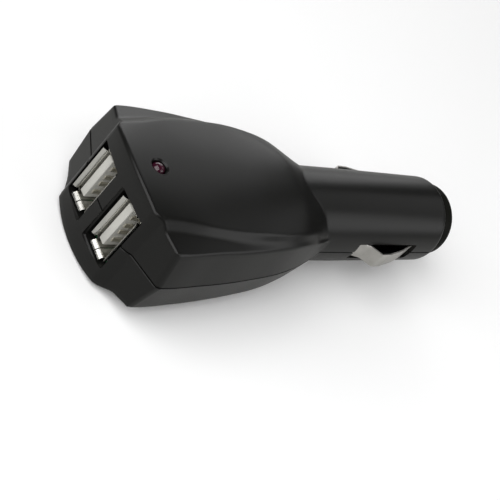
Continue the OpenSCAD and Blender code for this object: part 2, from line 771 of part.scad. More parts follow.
module usb_shell(side) {
    lip_h = port_h - 2 * sheet_t;
    lip_w = port_w - 2 * sheet_t;
    color("#b9babb")
        translate([mouth_x, side * port_y, 0]) {
            difference() {
                translate([lip_len, -port_w / 2, -port_h / 2])
                    cube([port_depth - lip_len, port_w, port_h]);
                translate([lip_len - cut, -port_w / 2 + sheet_t, -port_h / 2 + sheet_t])
                    cube([port_depth - lip_len + 2 * cut, port_w - 2 * sheet_t, port_h - 2 * sheet_t]);
            }
            for (flip = [0, 180]) {
                rotate([flip, 0, 0]) translate([0, port_w / 2 - sheet_t, 0]) lip(lip_h);
                rotate([flip + 90, 0, 0]) translate([0, port_h / 2 - sheet_t, 0]) lip(lip_w);
            }
        }
}

module contact_slots() {
    for (z = contact_places)
        translate([back_x - mouth_x - cut, tongue_near - contact_t - fit_gap, z - contact_w / 2 - fit_gap])
            cube([back_len + 2 * cut, contact_t + fit_gap, contact_w + 2 * fit_gap]);
}

module usb_insulator(side) {
    in_w = port_w / 2 - sheet_t - fit_gap;
    in_h = port_h / 2 - sheet_t - fit_gap;
    color("#e8e8e4")
        translate([mouth_x, side * port_y, 0]) {
            translate([tongue_inset, tongue_near, -tongue_h / 2])
                cube([port_depth - tongue_inset - back_len, tongue_t, tongue_h]);
            difference() {
                translate([port_depth - back_len, -in_w, -in_h]) cube([back_len, 2 * in_w, 2 * in_h]);
                contact_slots();
            }
        }
}

// Contact on the tongue, bowed where it presses, with its leg down to the board
module usb_contact(side, i) {
    z = contact_places[i];
    x0 = tongue_inset + contact_inset;
    x1 = x0 + contact_bow_back;
    leg = port_depth + leg_x + leg_step * i;
    y0 = tongue_near;
    y1 = tongue_near - contact_t;
    color("#d2b25a")
        translate([mouth_x, side * port_y, 0]) {
            translate([0, 0, z - contact_w / 2])
                linear_extrude(contact_w)
                    polygon([[x0, y0], [x1 - contact_bow_len, y0], [x1, y0 - contact_bow], [x1 + contact_bow_len, y0],
                        [leg, y0], [leg, y1], [x1 + contact_bow_len, y1], [x1, y1 - contact_bow],
                        [x1 - contact_bow_len, y1], [x0, y1]]);
            translate([leg - leg_w, y1, board_z])
                cube([leg_w, contact_t, z - board_z]);
        }
}

module led_lens() {
    top = crown_half_h + lens_gap * 2;
    base = top - lens_len;
    color("#4a1020")
        translate([face_x + lens_back, 0, 0])
            rotate_extrude($fn = 48)
                polygon(concat([[0, base], [lens_r + lens_gap * 3, base], [lens_r + lens_gap * 3, base + lens_gap * 8],
                    [lens_r, base + lens_gap * 8]],
                    [for (p = arc_pts([0, 0], lens_r, 0, 90)) [p[0], top - lens_r + p[1]]]));
}

module led_leads() {
    base = crown_half_h + lens_gap * 2 - lens_len;
    color("#b9babb")
        for (end = [near, far])
            translate([face_x + lens_back + end * (lens_r - lead_side) - lead_side / 2, -lead_side / 2, board_z])
                cube([lead_side, lead_side, base - board_z]);
}

// Wound can on its rubber base, with the bead that holds the base
module can(x, y, r, h) {
    translate([x, y, board_z])
        rotate_extrude($fn = 48)
            polygon([[0, 0], [r - cap_bead, 0], [r, cap_base_t], [r, cap_bead_z], [r - cap_bead, cap_bead_z + cap_bead],
                [r, cap_bead_z + 2 * cap_bead], [r, h - cap_bead], [r - cap_bead, h], [r - 2 * cap_bead, h - cap_bead / 2],
                [0, h - cap_bead / 2]]);
}

module input_capacitor() {
    color("#26324d") can(row_x, cap_y, cap_r, cap_h);
}

module output_capacitor() {
    color("#26324d") can(out_cap_x, 0, out_cap_r, out_cap_h);
}

module inductor_core() {
    color("#4a4643")
        translate([row_x, coil_y, board_z])
            rotate_extrude($fn = 48)
                polygon([[0, 0], [coil_r, 0], [coil_r, coil_lip], [coil_core_r, coil_lip],
                    [coil_core_r, coil_h - coil_lip], [coil_r, coil_h - coil_lip], [coil_r, coil_h], [0, coil_h]]);
}

module inductor_winding() {
    color("#b5652b")
        translate([row_x, coil_y, board_z + coil_lip])
            difference() {
                cylinder(r = coil_r - coil_wind_gap, h = coil_h - 2 * coil_lip, $fn = 48);
                translate([0, 0, -cut]) cylinder(r = coil_core_r, h = coil_h + 2 * cut, $fn = 48);
            }
}

// Block soldered under the board, with its middle at x and y
module under_block(x, y, size, lift = 0) {
    translate([x - size[0] / 2, y - size[1] / 2, board_under - lift - size[2]]) cube(size);
}

module regulator_chip() {
    color("#202022") under_block(row_x, 0, [chip_len, chip_w, chip_h], chip_lift);
}

// Bent legs in two rows, in the form of a gull's wing
module regulator_legs() {
    bend = chip_h / 2;
    color("#b9babb")
        for (side = [0, 180])
            translate([row_x, 0, board_under])
                rotate([180, 0, side])
                    for (k = [0 : legs_a_side - 1])
                        translate([(k - (legs_a_side - 1) / 2) * leg_pitch - leg_half_w, chip_w / 2, 0])
                            rotate([90, 0, 90]) linear_extrude(2 * leg_half_w) leg_profile(bend);
}
module leg_profile(bend) {
    polygon([[0, bend], [leg_out / 2 - leg_t, bend], [leg_out / 2 - leg_t, 0], [leg_out, 0],
        [leg_out, leg_t], [leg_out / 2, leg_t], [leg_out / 2, bend + leg_t], [0, bend + leg_t]]);
}

module rectifier_diode() {
    color("#202022") under_block(out_cap_x, 0, [diode_w, diode_len, diode_h]);
}

module chip_resistors() {
    color("#1a1a1a")
        for (k = resistor_rows) under_block(resistor_x, (k + 1 / 2) * resistor_step, [small_len, small_w, small_h]);
}

module chip_capacitors() {
    color("#a88a5c")
        for (k = ceramic_rows) under_block(ceramic_x, k * ceramic_step, [ceramic_len, ceramic_w, ceramic_h]);
}

// Lead from the board up to a piece on the barrel's middle plane
module lead(y, end) {
    route = [for (p = wire_shares) [wire_x + (end - wire_x) * p[0], y, board_z - board_z * p[1]]];
    sweep(smooth(route, 3), wire_r, wire_sides, [0, 1, 0]);
}

module centre_wire() {
    color("#8e1f1f") lead(0, bulkhead_x - cup_floor - fit_gap);
}

module side_wire(side) {
    color("#1b1b1b") scale([1, side, 1]) lead(root_y, strip_back - wire_end_gap);
}

top_housing();
bottom_housing();
nose_ring();
centre_contact();
fuse_tube();
fuse_front_cap();
fuse_rear_cap();
fuse_wire();
contact_spring();
spring_cup();
side_contact(near);  // near_side_contact
side_contact(far);  // far_side_contact
circuit_board();
usb_shell(near);  // near_usb_shell
usb_shell(far);  // far_usb_shell
usb_insulator(near);  // near_usb_insulator
usb_insulator(far);  // far_usb_insulator
usb_contact(near, 0);  // near_usb_contact_1
usb_contact(near, 1);  // near_usb_contact_2
usb_contact(near, 2);  // near_usb_contact_3
usb_contact(near, 3);  // near_usb_contact_4
usb_contact(far, 0);  // far_usb_contact_1
usb_contact(far, 1);  // far_usb_contact_2
usb_contact(far, 2);  // far_usb_contact_3
usb_contact(far, 3);  // far_usb_contact_4
led_lens();
led_leads();
input_capacitor();
output_capacitor();
inductor_core();
inductor_winding();
regulator_chip();
regulator_legs();
rectifier_diode();
chip_resistors();
chip_capacitors();
centre_wire();
side_wire(near);  // near_wire
side_wire(far);  // far_wire
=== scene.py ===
# %% [markdown]
# A car charger plug with two USB ports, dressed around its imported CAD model.
# The CAD model settles every size. This script gives the parts their finished surfaces.
# It works in millimetres and turns them to Blender's metres only when a mesh is made.

import math

import bmesh
import bpy
import numpy as np
from mathutils import Matrix, Vector


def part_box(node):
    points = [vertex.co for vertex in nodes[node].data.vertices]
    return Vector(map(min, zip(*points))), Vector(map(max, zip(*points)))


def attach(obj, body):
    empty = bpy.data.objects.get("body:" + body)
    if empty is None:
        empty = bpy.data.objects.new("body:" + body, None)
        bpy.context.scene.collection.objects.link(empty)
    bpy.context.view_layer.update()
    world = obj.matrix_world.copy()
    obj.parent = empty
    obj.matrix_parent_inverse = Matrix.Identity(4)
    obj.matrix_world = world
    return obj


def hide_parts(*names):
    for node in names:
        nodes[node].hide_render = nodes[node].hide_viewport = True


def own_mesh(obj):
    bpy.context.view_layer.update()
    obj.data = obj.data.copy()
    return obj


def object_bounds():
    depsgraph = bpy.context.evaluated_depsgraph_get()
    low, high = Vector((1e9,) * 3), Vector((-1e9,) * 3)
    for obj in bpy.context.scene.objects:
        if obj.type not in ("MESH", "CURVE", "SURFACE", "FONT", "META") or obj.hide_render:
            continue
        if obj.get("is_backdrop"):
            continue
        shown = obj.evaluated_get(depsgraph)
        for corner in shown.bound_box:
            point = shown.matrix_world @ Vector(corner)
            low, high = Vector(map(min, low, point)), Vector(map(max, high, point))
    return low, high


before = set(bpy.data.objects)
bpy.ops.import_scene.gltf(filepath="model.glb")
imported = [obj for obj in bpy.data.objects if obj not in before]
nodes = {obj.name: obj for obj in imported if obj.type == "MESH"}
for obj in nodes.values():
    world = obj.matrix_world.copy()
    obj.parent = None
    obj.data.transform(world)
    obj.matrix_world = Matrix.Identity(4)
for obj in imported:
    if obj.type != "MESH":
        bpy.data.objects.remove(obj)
cad_low, cad_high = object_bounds()
MM = 0.001
print("parts from the CAD model:", len(nodes))

# %% [markdown]
# The camera stands where the photographer's did. Its place and turn were fitted to the
# corners of the front face, the ports and the ends of the barrel, so no zoom or shift is needed.

# %% Camera
FRAME_PX = 500
FOCAL_PX = 1200
CAMERA_MM = Vector((-188.66, -108.85, 145.2))
IMAGE_RIGHT = Vector((0.725, -0.3776, 0.576))
IMAGE_DOWN = Vector((0.009, -0.831, -0.5561))

camera = bpy.data.objects.new("camera", bpy.data.cameras.new("camera"))
bpy.context.scene.collection.objects.link(camera)
bpy.context.scene.camera = camera
camera.data.lens = camera.data.sensor_width * FOCAL_PX / FRAME_PX
right = IMAGE_RIGHT.normalized()
back = right.cross(-IMAGE_DOWN).normalized()
up = back.cross(right)
camera.matrix_world = Matrix.Translation(CAMERA_MM * MM) @ Matrix((right, up, back)).transposed().to_4x4()
camera.data.clip_start, camera.data.clip_end = 0.01, 5
print("lens:", round(camera.data.lens, 1), "mm")

# %% [markdown]
# A product shot on white needs a white floor, a bright surround and large soft lights. Black
# plastic shows its form only by what it reflects, so the lights are wide and placed for that.

# %% Floor and lights
def srgb(code):
    """A colour as designers write it, '#2b2d2f', turned to the linear values that shaders use."""
    values = [int(code[i:i + 2], 16) / 255 for i in (1, 3, 5)]
    return [v / 12.92 if v <= 0.04045 else ((v + 0.055) / 1.055) ** 2.4 for v in values] + [1.0]


def node(tree, kind, settings=None, links=None, **inputs):
    """Adds one node. Settings are its options. Links and inputs fill its sockets, each with a wire or a value."""
    made = tree.nodes.new(kind)
    for name, value in (settings or {}).items():
        setattr(made, name, value)
    for name, value in inputs.items():
        made.inputs[name.replace("_", " ")].default_value = value
    for name, source in (links or {}).items():
        if isinstance(source, bpy.types.NodeSocket):
            tree.links.new(source, made.inputs[name])
        else:
            made.inputs[name].default_value = source
    return made


floor_mesh = bpy.data.meshes.new("floor")
FLOOR_HALF = 3.0
FLOOR_Z = -12.6 * MM
floor_mesh.from_pydata([(x * FLOOR_HALF, y * FLOOR_HALF, FLOOR_Z) for x, y in ((-1, -1), (1, -1), (1, 1), (-1, 1))],
                       [], [(0, 1, 2, 3)])
floor = bpy.data.objects.new("floor", floor_mesh)
bpy.context.scene.collection.objects.link(floor)
floor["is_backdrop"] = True

paper = bpy.data.materials.new("white_paper")
paper.use_nodes = True
paper_shader = paper.node_tree.nodes["Principled BSDF"]
paper_shader.inputs["Roughness"].default_value = 0.9
ray = node(paper.node_tree, "ShaderNodeLightPath")
card = node(paper.node_tree, "ShaderNodeMix", {"data_type": "RGBA"},
            {"Factor": ray.outputs["Is Camera Ray"], 6: srgb("#c6c6c4"), 7: srgb("#ffffff")})
paper.node_tree.links.new(card.outputs[2], paper_shader.inputs["Base Color"])
floor_mesh.materials.append(paper)

world = bpy.data.worlds.new("studio")
bpy.context.scene.world = world
world.use_nodes = True
world.node_tree.nodes["Background"].inputs["Color"].default_value = srgb("#ffffff")
world.node_tree.nodes["Background"].inputs["Strength"].default_value = 0.02


# Direction round from +X and up from the floor in degrees, power in watts, width in metres
SOFTBOXES = {"front": (185, 46, 5.6, 0.75), "far": (75, 18, 0.6, 0.32), "far_edge": (50, 18, 0.4, 0.32),
             "far_high": (50, 40, 0.25, 0.32), "end_high": (0, 40, 0.2, 0.32), "near": (-40, 24, 0.55, 0.32),
             "near_high": (-60, 40, 0.3, 0.32), "near_low": (-70, 6, 1.0, 0.32)}
SOFTBOX_AWAY = 0.6
for name, (round_deg, up_deg, watts, width) in SOFTBOXES.items():
    light = bpy.data.lights.new(name, "AREA")
    light.size, light.energy = width, watts
    lamp = bpy.data.objects.new(name, light)
    bpy.context.scene.collection.objects.link(lamp)
    turn, tilt = math.radians(round_deg), math.radians(up_deg)
    toward_lamp = Vector((math.cos(tilt) * math.cos(turn), math.cos(tilt) * math.sin(turn), math.sin(tilt)))
    lamp.location = toward_lamp * SOFTBOX_AWAY
    lamp.rotation_mode = "QUATERNION"
    lamp.rotation_quaternion = (-toward_lamp).to_track_quat("-Z", "Y")
bpy.context.scene.view_settings.view_transform = "Standard"

# %% [markdown]
# A few helpers shape every piece. Each takes millimetres and gives a mesh whose place is in its
# points. Openings are cut with Boolean modifiers, because that is how a maker thinks of them too:
# a plain body first, and then its holes. The result is read back as a plain mesh.

# %% Helpers for meshes
def piece_from(name, mesh):
    """Turns a bmesh in millimetres into an object in metres, with its faces turned outwards."""
    bmesh.ops.remove_doubles(mesh, verts=mesh.verts, dist=1e-5)
    bmesh.ops.recalc_face_normals(mesh, faces=mesh.faces)
    bmesh.ops.scale(mesh, vec=(MM, MM, MM), verts=mesh.verts)
    data = bpy.data.meshes.new(name)
    mesh.to_mesh(data)
    mesh.free()
    made = bpy.data.objects.new(name, data)
    bpy.context.scene.collection.objects.link(made)
    return made


def loft(name, rings, capped=True, closed=False):
    """Joins rings of points, each with the same count, into a skin. Ends are capped or joined."""
    mesh = bmesh.new()
    rows = [[mesh.verts.new(p) for p in ring] for ring in rings]
    pairs = list(zip(rows, rows[1:])) + ([(rows[-1], rows[0])] if closed else [])
    for a, b in pairs:
        for k in range(len(a)):
            m = (k + 1) % len(a)
            mesh.faces.new((a[k], a[m], b[m], b[k]))
    if capped and not closed:
        mesh.faces.new(rows[0])
        mesh.faces.new(rows[-1])
    return piece_from(name, mesh)


def prism(name, outline, low, high, axis="z"):
    """Extrudes an outline along one axis. The outline's two numbers are the other two axes in order."""
    place = {"x": lambda a, b, c: (c, a, b), "y": lambda a, b, c: (a, c, b), "z": lambda a, b, c: (a, b, c)}[axis]
    return loft(name, [[place(a, b, c) for a, b in outline] for c in (low, high)])


def turned(name, profile, steps=96, axis="x", centre=(0, 0)):
    """Turns a profile of place and radius about an axis along X or Z. It starts and ends at radius 0,
    or else it is a closed ring."""
    rings = []
    for k in range(steps):
        a = 2 * math.pi * k / steps
        if axis == "x":
            rings.append([(x, r * math.cos(a), r * math.sin(a)) for x, r in profile])
        else:
            rings.append([(centre[0] + r * math.cos(a), centre[1] + r * math.sin(a), x) for x, r in profile])
    mesh = bmesh.new()
    rows = [[mesh.verts.new(p) for p in ring] for ring in rings]
    count = len(profile)
    open_ends = profile[0][1] < 1e-9 and profile[-1][1] < 1e-9
    for a, b in zip(rows, rows[1:] + rows[:1]):
        for k in range(count - 1 if open_ends else count):
            m = (k + 1) % count
            corners = (a[k], a[m], b[m], b[k])
            mesh.faces.new(corners)
    made = piece_from(name, mesh)
    return made


def rounded_box(half_w, half_h, r, steps=6):
    """Outline of a rectangle with rounded corners, counter-clockwise."""
    r = max(r, 0.01)
    points = []
    for n, (sw, sh) in enumerate(((1, 1), (-1, 1), (-1, -1), (1, -1))):
        for k in range(steps + 1):
            a = math.pi / 2 * (n + k / steps)
            points.append((sw * (half_w - r) + r * math.cos(a), sh * (half_h - r) + r * math.sin(a)))
    return points


def bevelled_box(name, low, high, width, segments=3):
    mesh = bmesh.new()
    corners = [mesh.verts.new((x, y, z)) for x in (low[0], high[0]) for y in (low[1], high[1])
               for z in (low[2], high[2])]
    for quad in ((0, 1, 3, 2), (4, 6, 7, 5), (0, 4, 5, 1), (2, 3, 7, 6), (0, 2, 6, 4), (1, 5, 7, 3)):
        mesh.faces.new([corners[k] for k in quad])
    bmesh.ops.bevel(mesh, geom=mesh.edges, offset=width, segments=segments, affect="EDGES", profile=0.5)
    return piece_from(name, mesh)


def carve(piece, tool, how="DIFFERENCE", solver="MANIFOLD"):
    """Cuts a tool from a piece, or joins it on, and keeps the result as a plain mesh."""
    step = piece.modifiers.new(how.lower(), "BOOLEAN")
    step.operation, step.object, step.solver = how, tool, solver
    graph = bpy.context.evaluated_depsgraph_get()
    result = bpy.data.meshes.new_from_object(piece.evaluated_get(graph))
    piece.modifiers.clear()
    old, piece.data = piece.data, result
    result.name = piece.name
    bpy.data.meshes.remove(old)
    bpy.data.objects.remove(tool)


def dress(piece, material, body, slot, *parts, angle=35):
    """Gives a piece its finish, its shading and its place among the moving bodies."""
    piece.data.materials.clear()
    piece.data.materials.append(material)
    piece.data.shade_smooth()
    piece.data.set_sharp_from_angle(angle=math.radians(angle))
    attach(piece, body)
    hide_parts(*parts)
    print(piece.name, "has", len(piece.data.polygons), "faces")


# %% [markdown]
# The head and barrel are moulded in ABS, a tough plastic, in a steel mould whose walls were
# spark eroded. That leaves a fine matt grain, with a soft satin highlight.

# %% Moulded plastic
def plastic(name, colour, roughness, grain_mm, grain_depth_mm, mottle=0.06, specular=0.5):
    """Moulded plastic with an eroded grain. The grain is drawn coarser than the real 0.03 mm."""
    material = bpy.data.materials.new(name)
    material.use_nodes = True
    tree = material.node_tree
    shader = tree.nodes["Principled BSDF"]
    place = node(tree, "ShaderNodeTexCoord")
    grain = node(tree, "ShaderNodeTexNoise", links={"Vector": place.outputs["Object"]},
                 Scale=1 / (grain_mm * MM), Detail=3.0, Roughness=0.6)
    cloud = node(tree, "ShaderNodeTexNoise", links={"Vector": place.outputs["Object"]},
                 Scale=1 / (9 * MM), Detail=4.0)
    low, high = [c * (1 - mottle) for c in srgb(colour)[:3]], [c * (1 + mottle) for c in srgb(colour)[:3]]
    tint = node(tree, "ShaderNodeMix", {"data_type": "RGBA"}, {"Factor": cloud.outputs["Fac"]})
    tint.inputs[6].default_value, tint.inputs[7].default_value = low + [1], high + [1]
    tree.links.new(tint.outputs[2], shader.inputs["Base Color"])
    gloss = node(tree, "ShaderNodeMapRange", {}, {"Value": grain.outputs["Fac"]})
    gloss.inputs["To Min"].default_value = roughness - 0.06
    gloss.inputs["To Max"].default_value = roughness + 0.06
    tree.links.new(gloss.outputs["Result"], shader.inputs["Roughness"])
    bump = node(tree, "ShaderNodeBump", links={"Height": grain.outputs["Fac"]},
                Strength=1.0, Distance=grain_depth_mm * MM)
    tree.links.new(bump.outputs["Normal"], shader.inputs["Normal"])
    shader.inputs["IOR"].default_value = 1.53
    shader.inputs["Specular IOR Level"].default_value = specular
    return material


abs_black = plastic("abs_black_spark_eroded", "#121211", 0.31, 0.25, 0.005, specular=0.21)
ring_black = plastic("ring_black_semi_gloss", "#131310", 0.42, 0.4, 0.002, specular=0.03)

# %% [markdown]
# Each half of the housing is drawn as a set of rails that run from the front face to the end of
# the barrel. The rails follow the same tables of shares as the CAD model: the side at the split,
# the wing's edge, the foot of the step, the panel's edge and the crest of the crown.

# %% Sizes of the head
HEAD_LEN, WING_W, WING_H, WING_RISE = 54.0, 18.8, 8.9, 0.9
DRAFT, SWEEP = math.radians(9), math.radians(20)
SETBACK, COVE_R, CORNER_R = 1.6, 1.4, 1.2
BLOCK_W, BLOCK_H, CROWN, BULGE, STEP_FOOT = 10.8, 11.3, 1.2, 1.3, 2.1
BARREL_R, NOSE_R, BARREL_LEN, SEAT_LEN, SHOULDER_R = 10.3, 10.0, 36.2, 7.8, 1.3
FACE_X = -HEAD_LEN
OUT_R = BARREL_R * 0.955
CREST_OUT = BARREL_R * 0.86
EDGE_OUT, ROOT_OUT, PANEL_OUT = (math.radians(a) for a in (20, 22, 28))
RIDGE_R = 0.6

WING = [(0, 0.97), (0.13, 1), (0.26, 0.955), (0.39, 0.9), (0.53, 0.805), (0.68, 0.665),
        (0.81, 0.455), (0.905, 0.235), (0.963, 0.08), (1, 0)]
EDGE = [(0, 1), (0.28, 1), (0.41, 0.92), (0.56, 0.84), (0.72, 0.72), (0.815, 0.52),
        (0.89, 0.27), (0.963, 0.06), (1, 0)]
ROOT_Y = [(0, 0.97), (0.11, 1.11), (0.23, 1.3), (0.35, 1.43), (0.48, 1.41), (0.65, 1.24),
          (0.815, 0.84), (0.89, 0.45), (0.963, 0.15), (1, 0)]
ROOT_Z = [(0, 0.98), (0.11, 1.03), (0.23, 1.03), (0.35, 0.98), (0.48, 0.92), (0.65, 0.84),
          (0.815, 0.53), (0.89, 0.27), (0.963, 0.06), (1, 0)]
PANEL_Y = [(0, 1), (0.11, 1.26), (0.22, 1.78), (0.37, 2.14), (0.52, 2.24), (0.65, 1.97),
           (0.74, 1.64), (0.815, 1.2), (0.88, 0.72), (0.926, 0.32), (0.963, 0.12), (1, 0)]
PANEL_Z = [(0, 1), (0.11, 1.04), (0.22, 1.04), (0.37, 0.985), (0.52, 0.93), (0.65, 0.82),
           (0.74, 0.7), (0.815, 0.52), (0.88, 0.3), (0.926, 0.14), (0.963, 0.05), (1, 0)]
CREST = [(0, 1), (0.37, 1), (0.52, 0.96), (0.65, 0.84), (0.76, 0.67), (0.837, 0.41),
         (0.926, 0.14), (1, 0)]
CROWN_POWER = 2.3


def curve(table, t):
    """A smooth curve through a table of place and share, by Hermite's cubic."""
    last = len(table) - 1
    i = next((k for k in range(last - 1) if t <= table[k + 1][0]), last - 1)

    def slope(k):
        a, b = table[max(k - 1, 0)], table[min(k + 1, last)]
        return (b[1] - a[1]) / (b[0] - a[0])

    (t0, v0), (t1, v1) = table[i], table[i + 1]
    w, u = t1 - t0, (t - t0) / (t1 - t0)
    return ((2 * u**3 - 3 * u**2 + 1) * v0 + (u**3 - 2 * u**2 + u) * w * slope(i)
            + (3 * u**2 - 2 * u**3) * v1 + (u**3 - u**2) * w * slope(i + 1))


def blend(out, front, table, t):
    return out + (front - out) * curve(table, max(t, 0))


def rails(t):
    """Side, wing edge, step foot, panel edge and crest of the section at share t of the head."""
    side = blend(OUT_R, WING_W, WING, t)
    edge_z = blend(OUT_R * math.sin(EDGE_OUT), WING_H, EDGE, t)
    edge = (side - edge_z * math.tan(DRAFT), edge_z)
    root = (blend(OUT_R * math.cos(ROOT_OUT) - RIDGE_R / 2, BLOCK_W + STEP_FOOT, ROOT_Y, t),
            blend(OUT_R * math.sin(ROOT_OUT), WING_H + WING_RISE, ROOT_Z, t))
    panel = (blend(OUT_R * math.cos(PANEL_OUT), BLOCK_W, PANEL_Y, t),
             blend(OUT_R * math.sin(PANEL_OUT), BLOCK_H, PANEL_Z, t))
    crest = blend(CREST_OUT, BLOCK_H + CROWN, CREST, t)
    return np.array((side, 0.0)), np.array(edge), np.array(root), np.array(panel), crest


# %% [markdown]
# Between the rails the section is filled with points: straight runs, rounded ridges drawn as
# Bezier arcs, and the crown. Every section has the same number of points, so joining the same
# point from section to section gives clean rows of quads.

# %% Section of the head
LIP_Z = 0.24
SIDE_STEPS, RIDGE_STEPS, STEP_STEPS, CROWN_STEPS = 8, 5, 5, 18
TOP_SHARES = [0.008, 0.03, 0.07, 0.13, 0.22, 0.36, 0.52, 0.7, 0.86]
RIDGE_MAX_SHARE = 0.3


def toward(p, q, d):
    gap = np.linalg.norm(q - p)
    return p + min(d, gap * RIDGE_MAX_SHARE) * (q - p) / gap


def rounded(before, corner, after, steps):
    """Points of a Bezier arc that rounds a corner, both ends included."""
    us = np.linspace(0, 1, steps + 1)
    return [(1 - u)**2 * before + 2 * u * (1 - u) * corner + u**2 * after for u in us]


def section(t):
    side, edge, root, panel, crest = rails(t)
    lip = side + (edge - side) * LIP_Z / edge[1]
    b1, b2 = toward(edge, side, RIDGE_R), toward(edge, root, RIDGE_R)
    c1, c2 = toward(root, edge, RIDGE_R), toward(root, panel, RIDGE_R)
    e1 = toward(panel, root, RIDGE_R)
    full = 1 - RIDGE_R / panel[0]

    def crown(share):
        return np.array((panel[0] * share, crest - (crest - panel[1]) * abs(share)**CROWN_POWER))

    points = [lip + (b1 - lip) * k / SIDE_STEPS for k in range(SIDE_STEPS)]
    points += rounded(b1, edge, b2, RIDGE_STEPS)
    points += [b2 + (c1 - b2) * s for s in TOP_SHARES]
    points += rounded(c1, root, c2, RIDGE_STEPS)
    points += [c2 + (e1 - c2) * k / STEP_STEPS for k in range(1, STEP_STEPS)]
    points += rounded(e1, panel, crown(full), RIDGE_STEPS)
    points += [crown(full * (1 - k / CROWN_STEPS)) for k in range(1, CROWN_STEPS + 1)]
    return np.array(points)


EDGE_COLUMN = SIDE_STEPS + RIDGE_STEPS
TABLE_T = np.linspace(-0.06, 1, 213)
TABLE = np.array([section(t) for t in TABLE_T])
COLUMNS = TABLE.shape[1]
print("points across a quarter section:", COLUMNS)


def rail_at(j, x):
    t = (x - FACE_X) / HEAD_LEN
    return np.array([np.interp(t, TABLE_T, TABLE[:, j, k]) for k in (0, 1)])


# %% [markdown]
# Seen from above, the front of each wing is a cove against the block, a swept facet, and a
# rounded corner that leans with the side's draft. The rails start on that line.

# %% Front line in plan
EDGE_R = 0.6
FACE_R = (BLOCK_W**2 + BULGE**2) / (2 * BULGE)
COVE = np.array((FACE_X + SETBACK - COVE_R, BLOCK_W + COVE_R))


def facet_x(y, d):
    p = COVE + (COVE_R + d) * np.array((math.cos(SWEEP), -math.sin(SWEEP)))
    return p[0] + (y - p[1]) * math.tan(SWEEP)


def corner_centre(z):
    """Centre of the rounded front corner at height z: it slides along the facet as it leans in."""
    y = WING_W - CORNER_R - z * math.tan(DRAFT)
    return np.array((facet_x(y, 0) + CORNER_R / math.cos(SWEEP), y))


def front_line(y, z, d):
    """Place along X and outward normal of the front line taken in by d."""
    block = BLOCK_W - d
    edge_r = max(EDGE_R - d, 0.01)
    if y <= block - edge_r:
        x = math.sqrt((FACE_R - d)**2 - y**2)
        return FACE_X - BULGE + FACE_R - x, (-x / (FACE_R - d), y / (FACE_R - d))
    if y <= block:
        dy = y - (block - edge_r)
        dx = math.sqrt(max(edge_r**2 - dy**2, 0))
        start = front_line(block - edge_r - 1e-6, z, d)[0] + edge_r
        return start - dx, (-dx / edge_r, dy / edge_r)
    cove_r = COVE_R + d
    if y <= COVE[1] - cove_r * math.sin(SWEEP):
        dy = y - COVE[1]
        dx = math.sqrt(max(cove_r**2 - dy**2, 0))
        return COVE[0] + dx, (-dx / cove_r, -dy / cove_r)
    centre = corner_centre(z)
    corner_r = CORNER_R - d
    if y <= centre[1] + corner_r * math.sin(SWEEP):
        return facet_x(y, d), (-math.cos(SWEEP), math.sin(SWEEP))
    dy = min(y - centre[1], corner_r)
    dx = math.sqrt(corner_r**2 - dy**2)
    return centre[0] - dx, (-dx / corner_r, dy / corner_r)


FACE_ROUND, CORNER_ROUND = 0.7, 0.4


def rounding(j):
    """Radius between the front wall and the skin above it: it dies down from the wing's edge."""
    share = min(max((j - EDGE_COLUMN) / 5, 0), 1)
    return CORNER_ROUND + (FACE_ROUND - CORNER_ROUND) * share


def solve(low, high, wanted):
    """Bisection: the place between low and high where wanted(x) changes sign."""
    sign = wanted(low) > 0
    for _ in range(40):
        middle = (low + high) / 2
        low, high = (middle, high) if (wanted(middle) > 0) == sign else (low, middle)
    return (low + high) / 2


def rail_start(j):
    if j <= EDGE_COLUMN:
        return solve(FACE_X - 2, FACE_X + 12, lambda x: x - corner_centre(rail_at(j, x)[1])[0])
    return solve(FACE_X - 2, FACE_X + 12, lambda x: x - front_line(*rail_at(j, x), rounding(j))[0])


def barrel_radius(x):
    return float(np.interp(x, (-11.5, 0, SEAT_LEN, BARREL_LEN), (BARREL_R + 0.06, BARREL_R, BARREL_R, NOSE_R)))


def rail_end(j):
    return solve(-25, 0, lambda x: float(np.linalg.norm(rail_at(j, x))) - barrel_radius(x))


STARTS = [rail_start(j) for j in range(COLUMNS)]
ENDS = [rail_end(j) for j in range(COLUMNS)]
print("rails start between", round(min(STARTS), 2), "and", round(max(STARTS), 2),
      "and meet the barrel between", round(min(ENDS), 2), "and", round(max(ENDS), 2))

# %% [markdown]
# The skin is one grid of quads. Its rows run over the head, then over the barrel to its rounded
# end. A strip of the same rows is folded down in front, for the face, the coves and the facets.
# A small rebate at the split makes the dark parting line that a two part moulding shows.

# %% Skin of one quarter
HEAD_ROWS, BARREL_ROWS, END_ROWS, FOLD_STEPS = 84, 46, 8, RIDGE_STEPS
REBATE_Z, REBATE_DEPTH, REBATE_LIP = 0.17, 0.45, 0.07
BARREL_END = BARREL_LEN + SHOULDER_R


def ease(u):
    """Rows close together at both ends."""
    return 0.5 * u + 0.5 * (u * u * (3 - 2 * u))


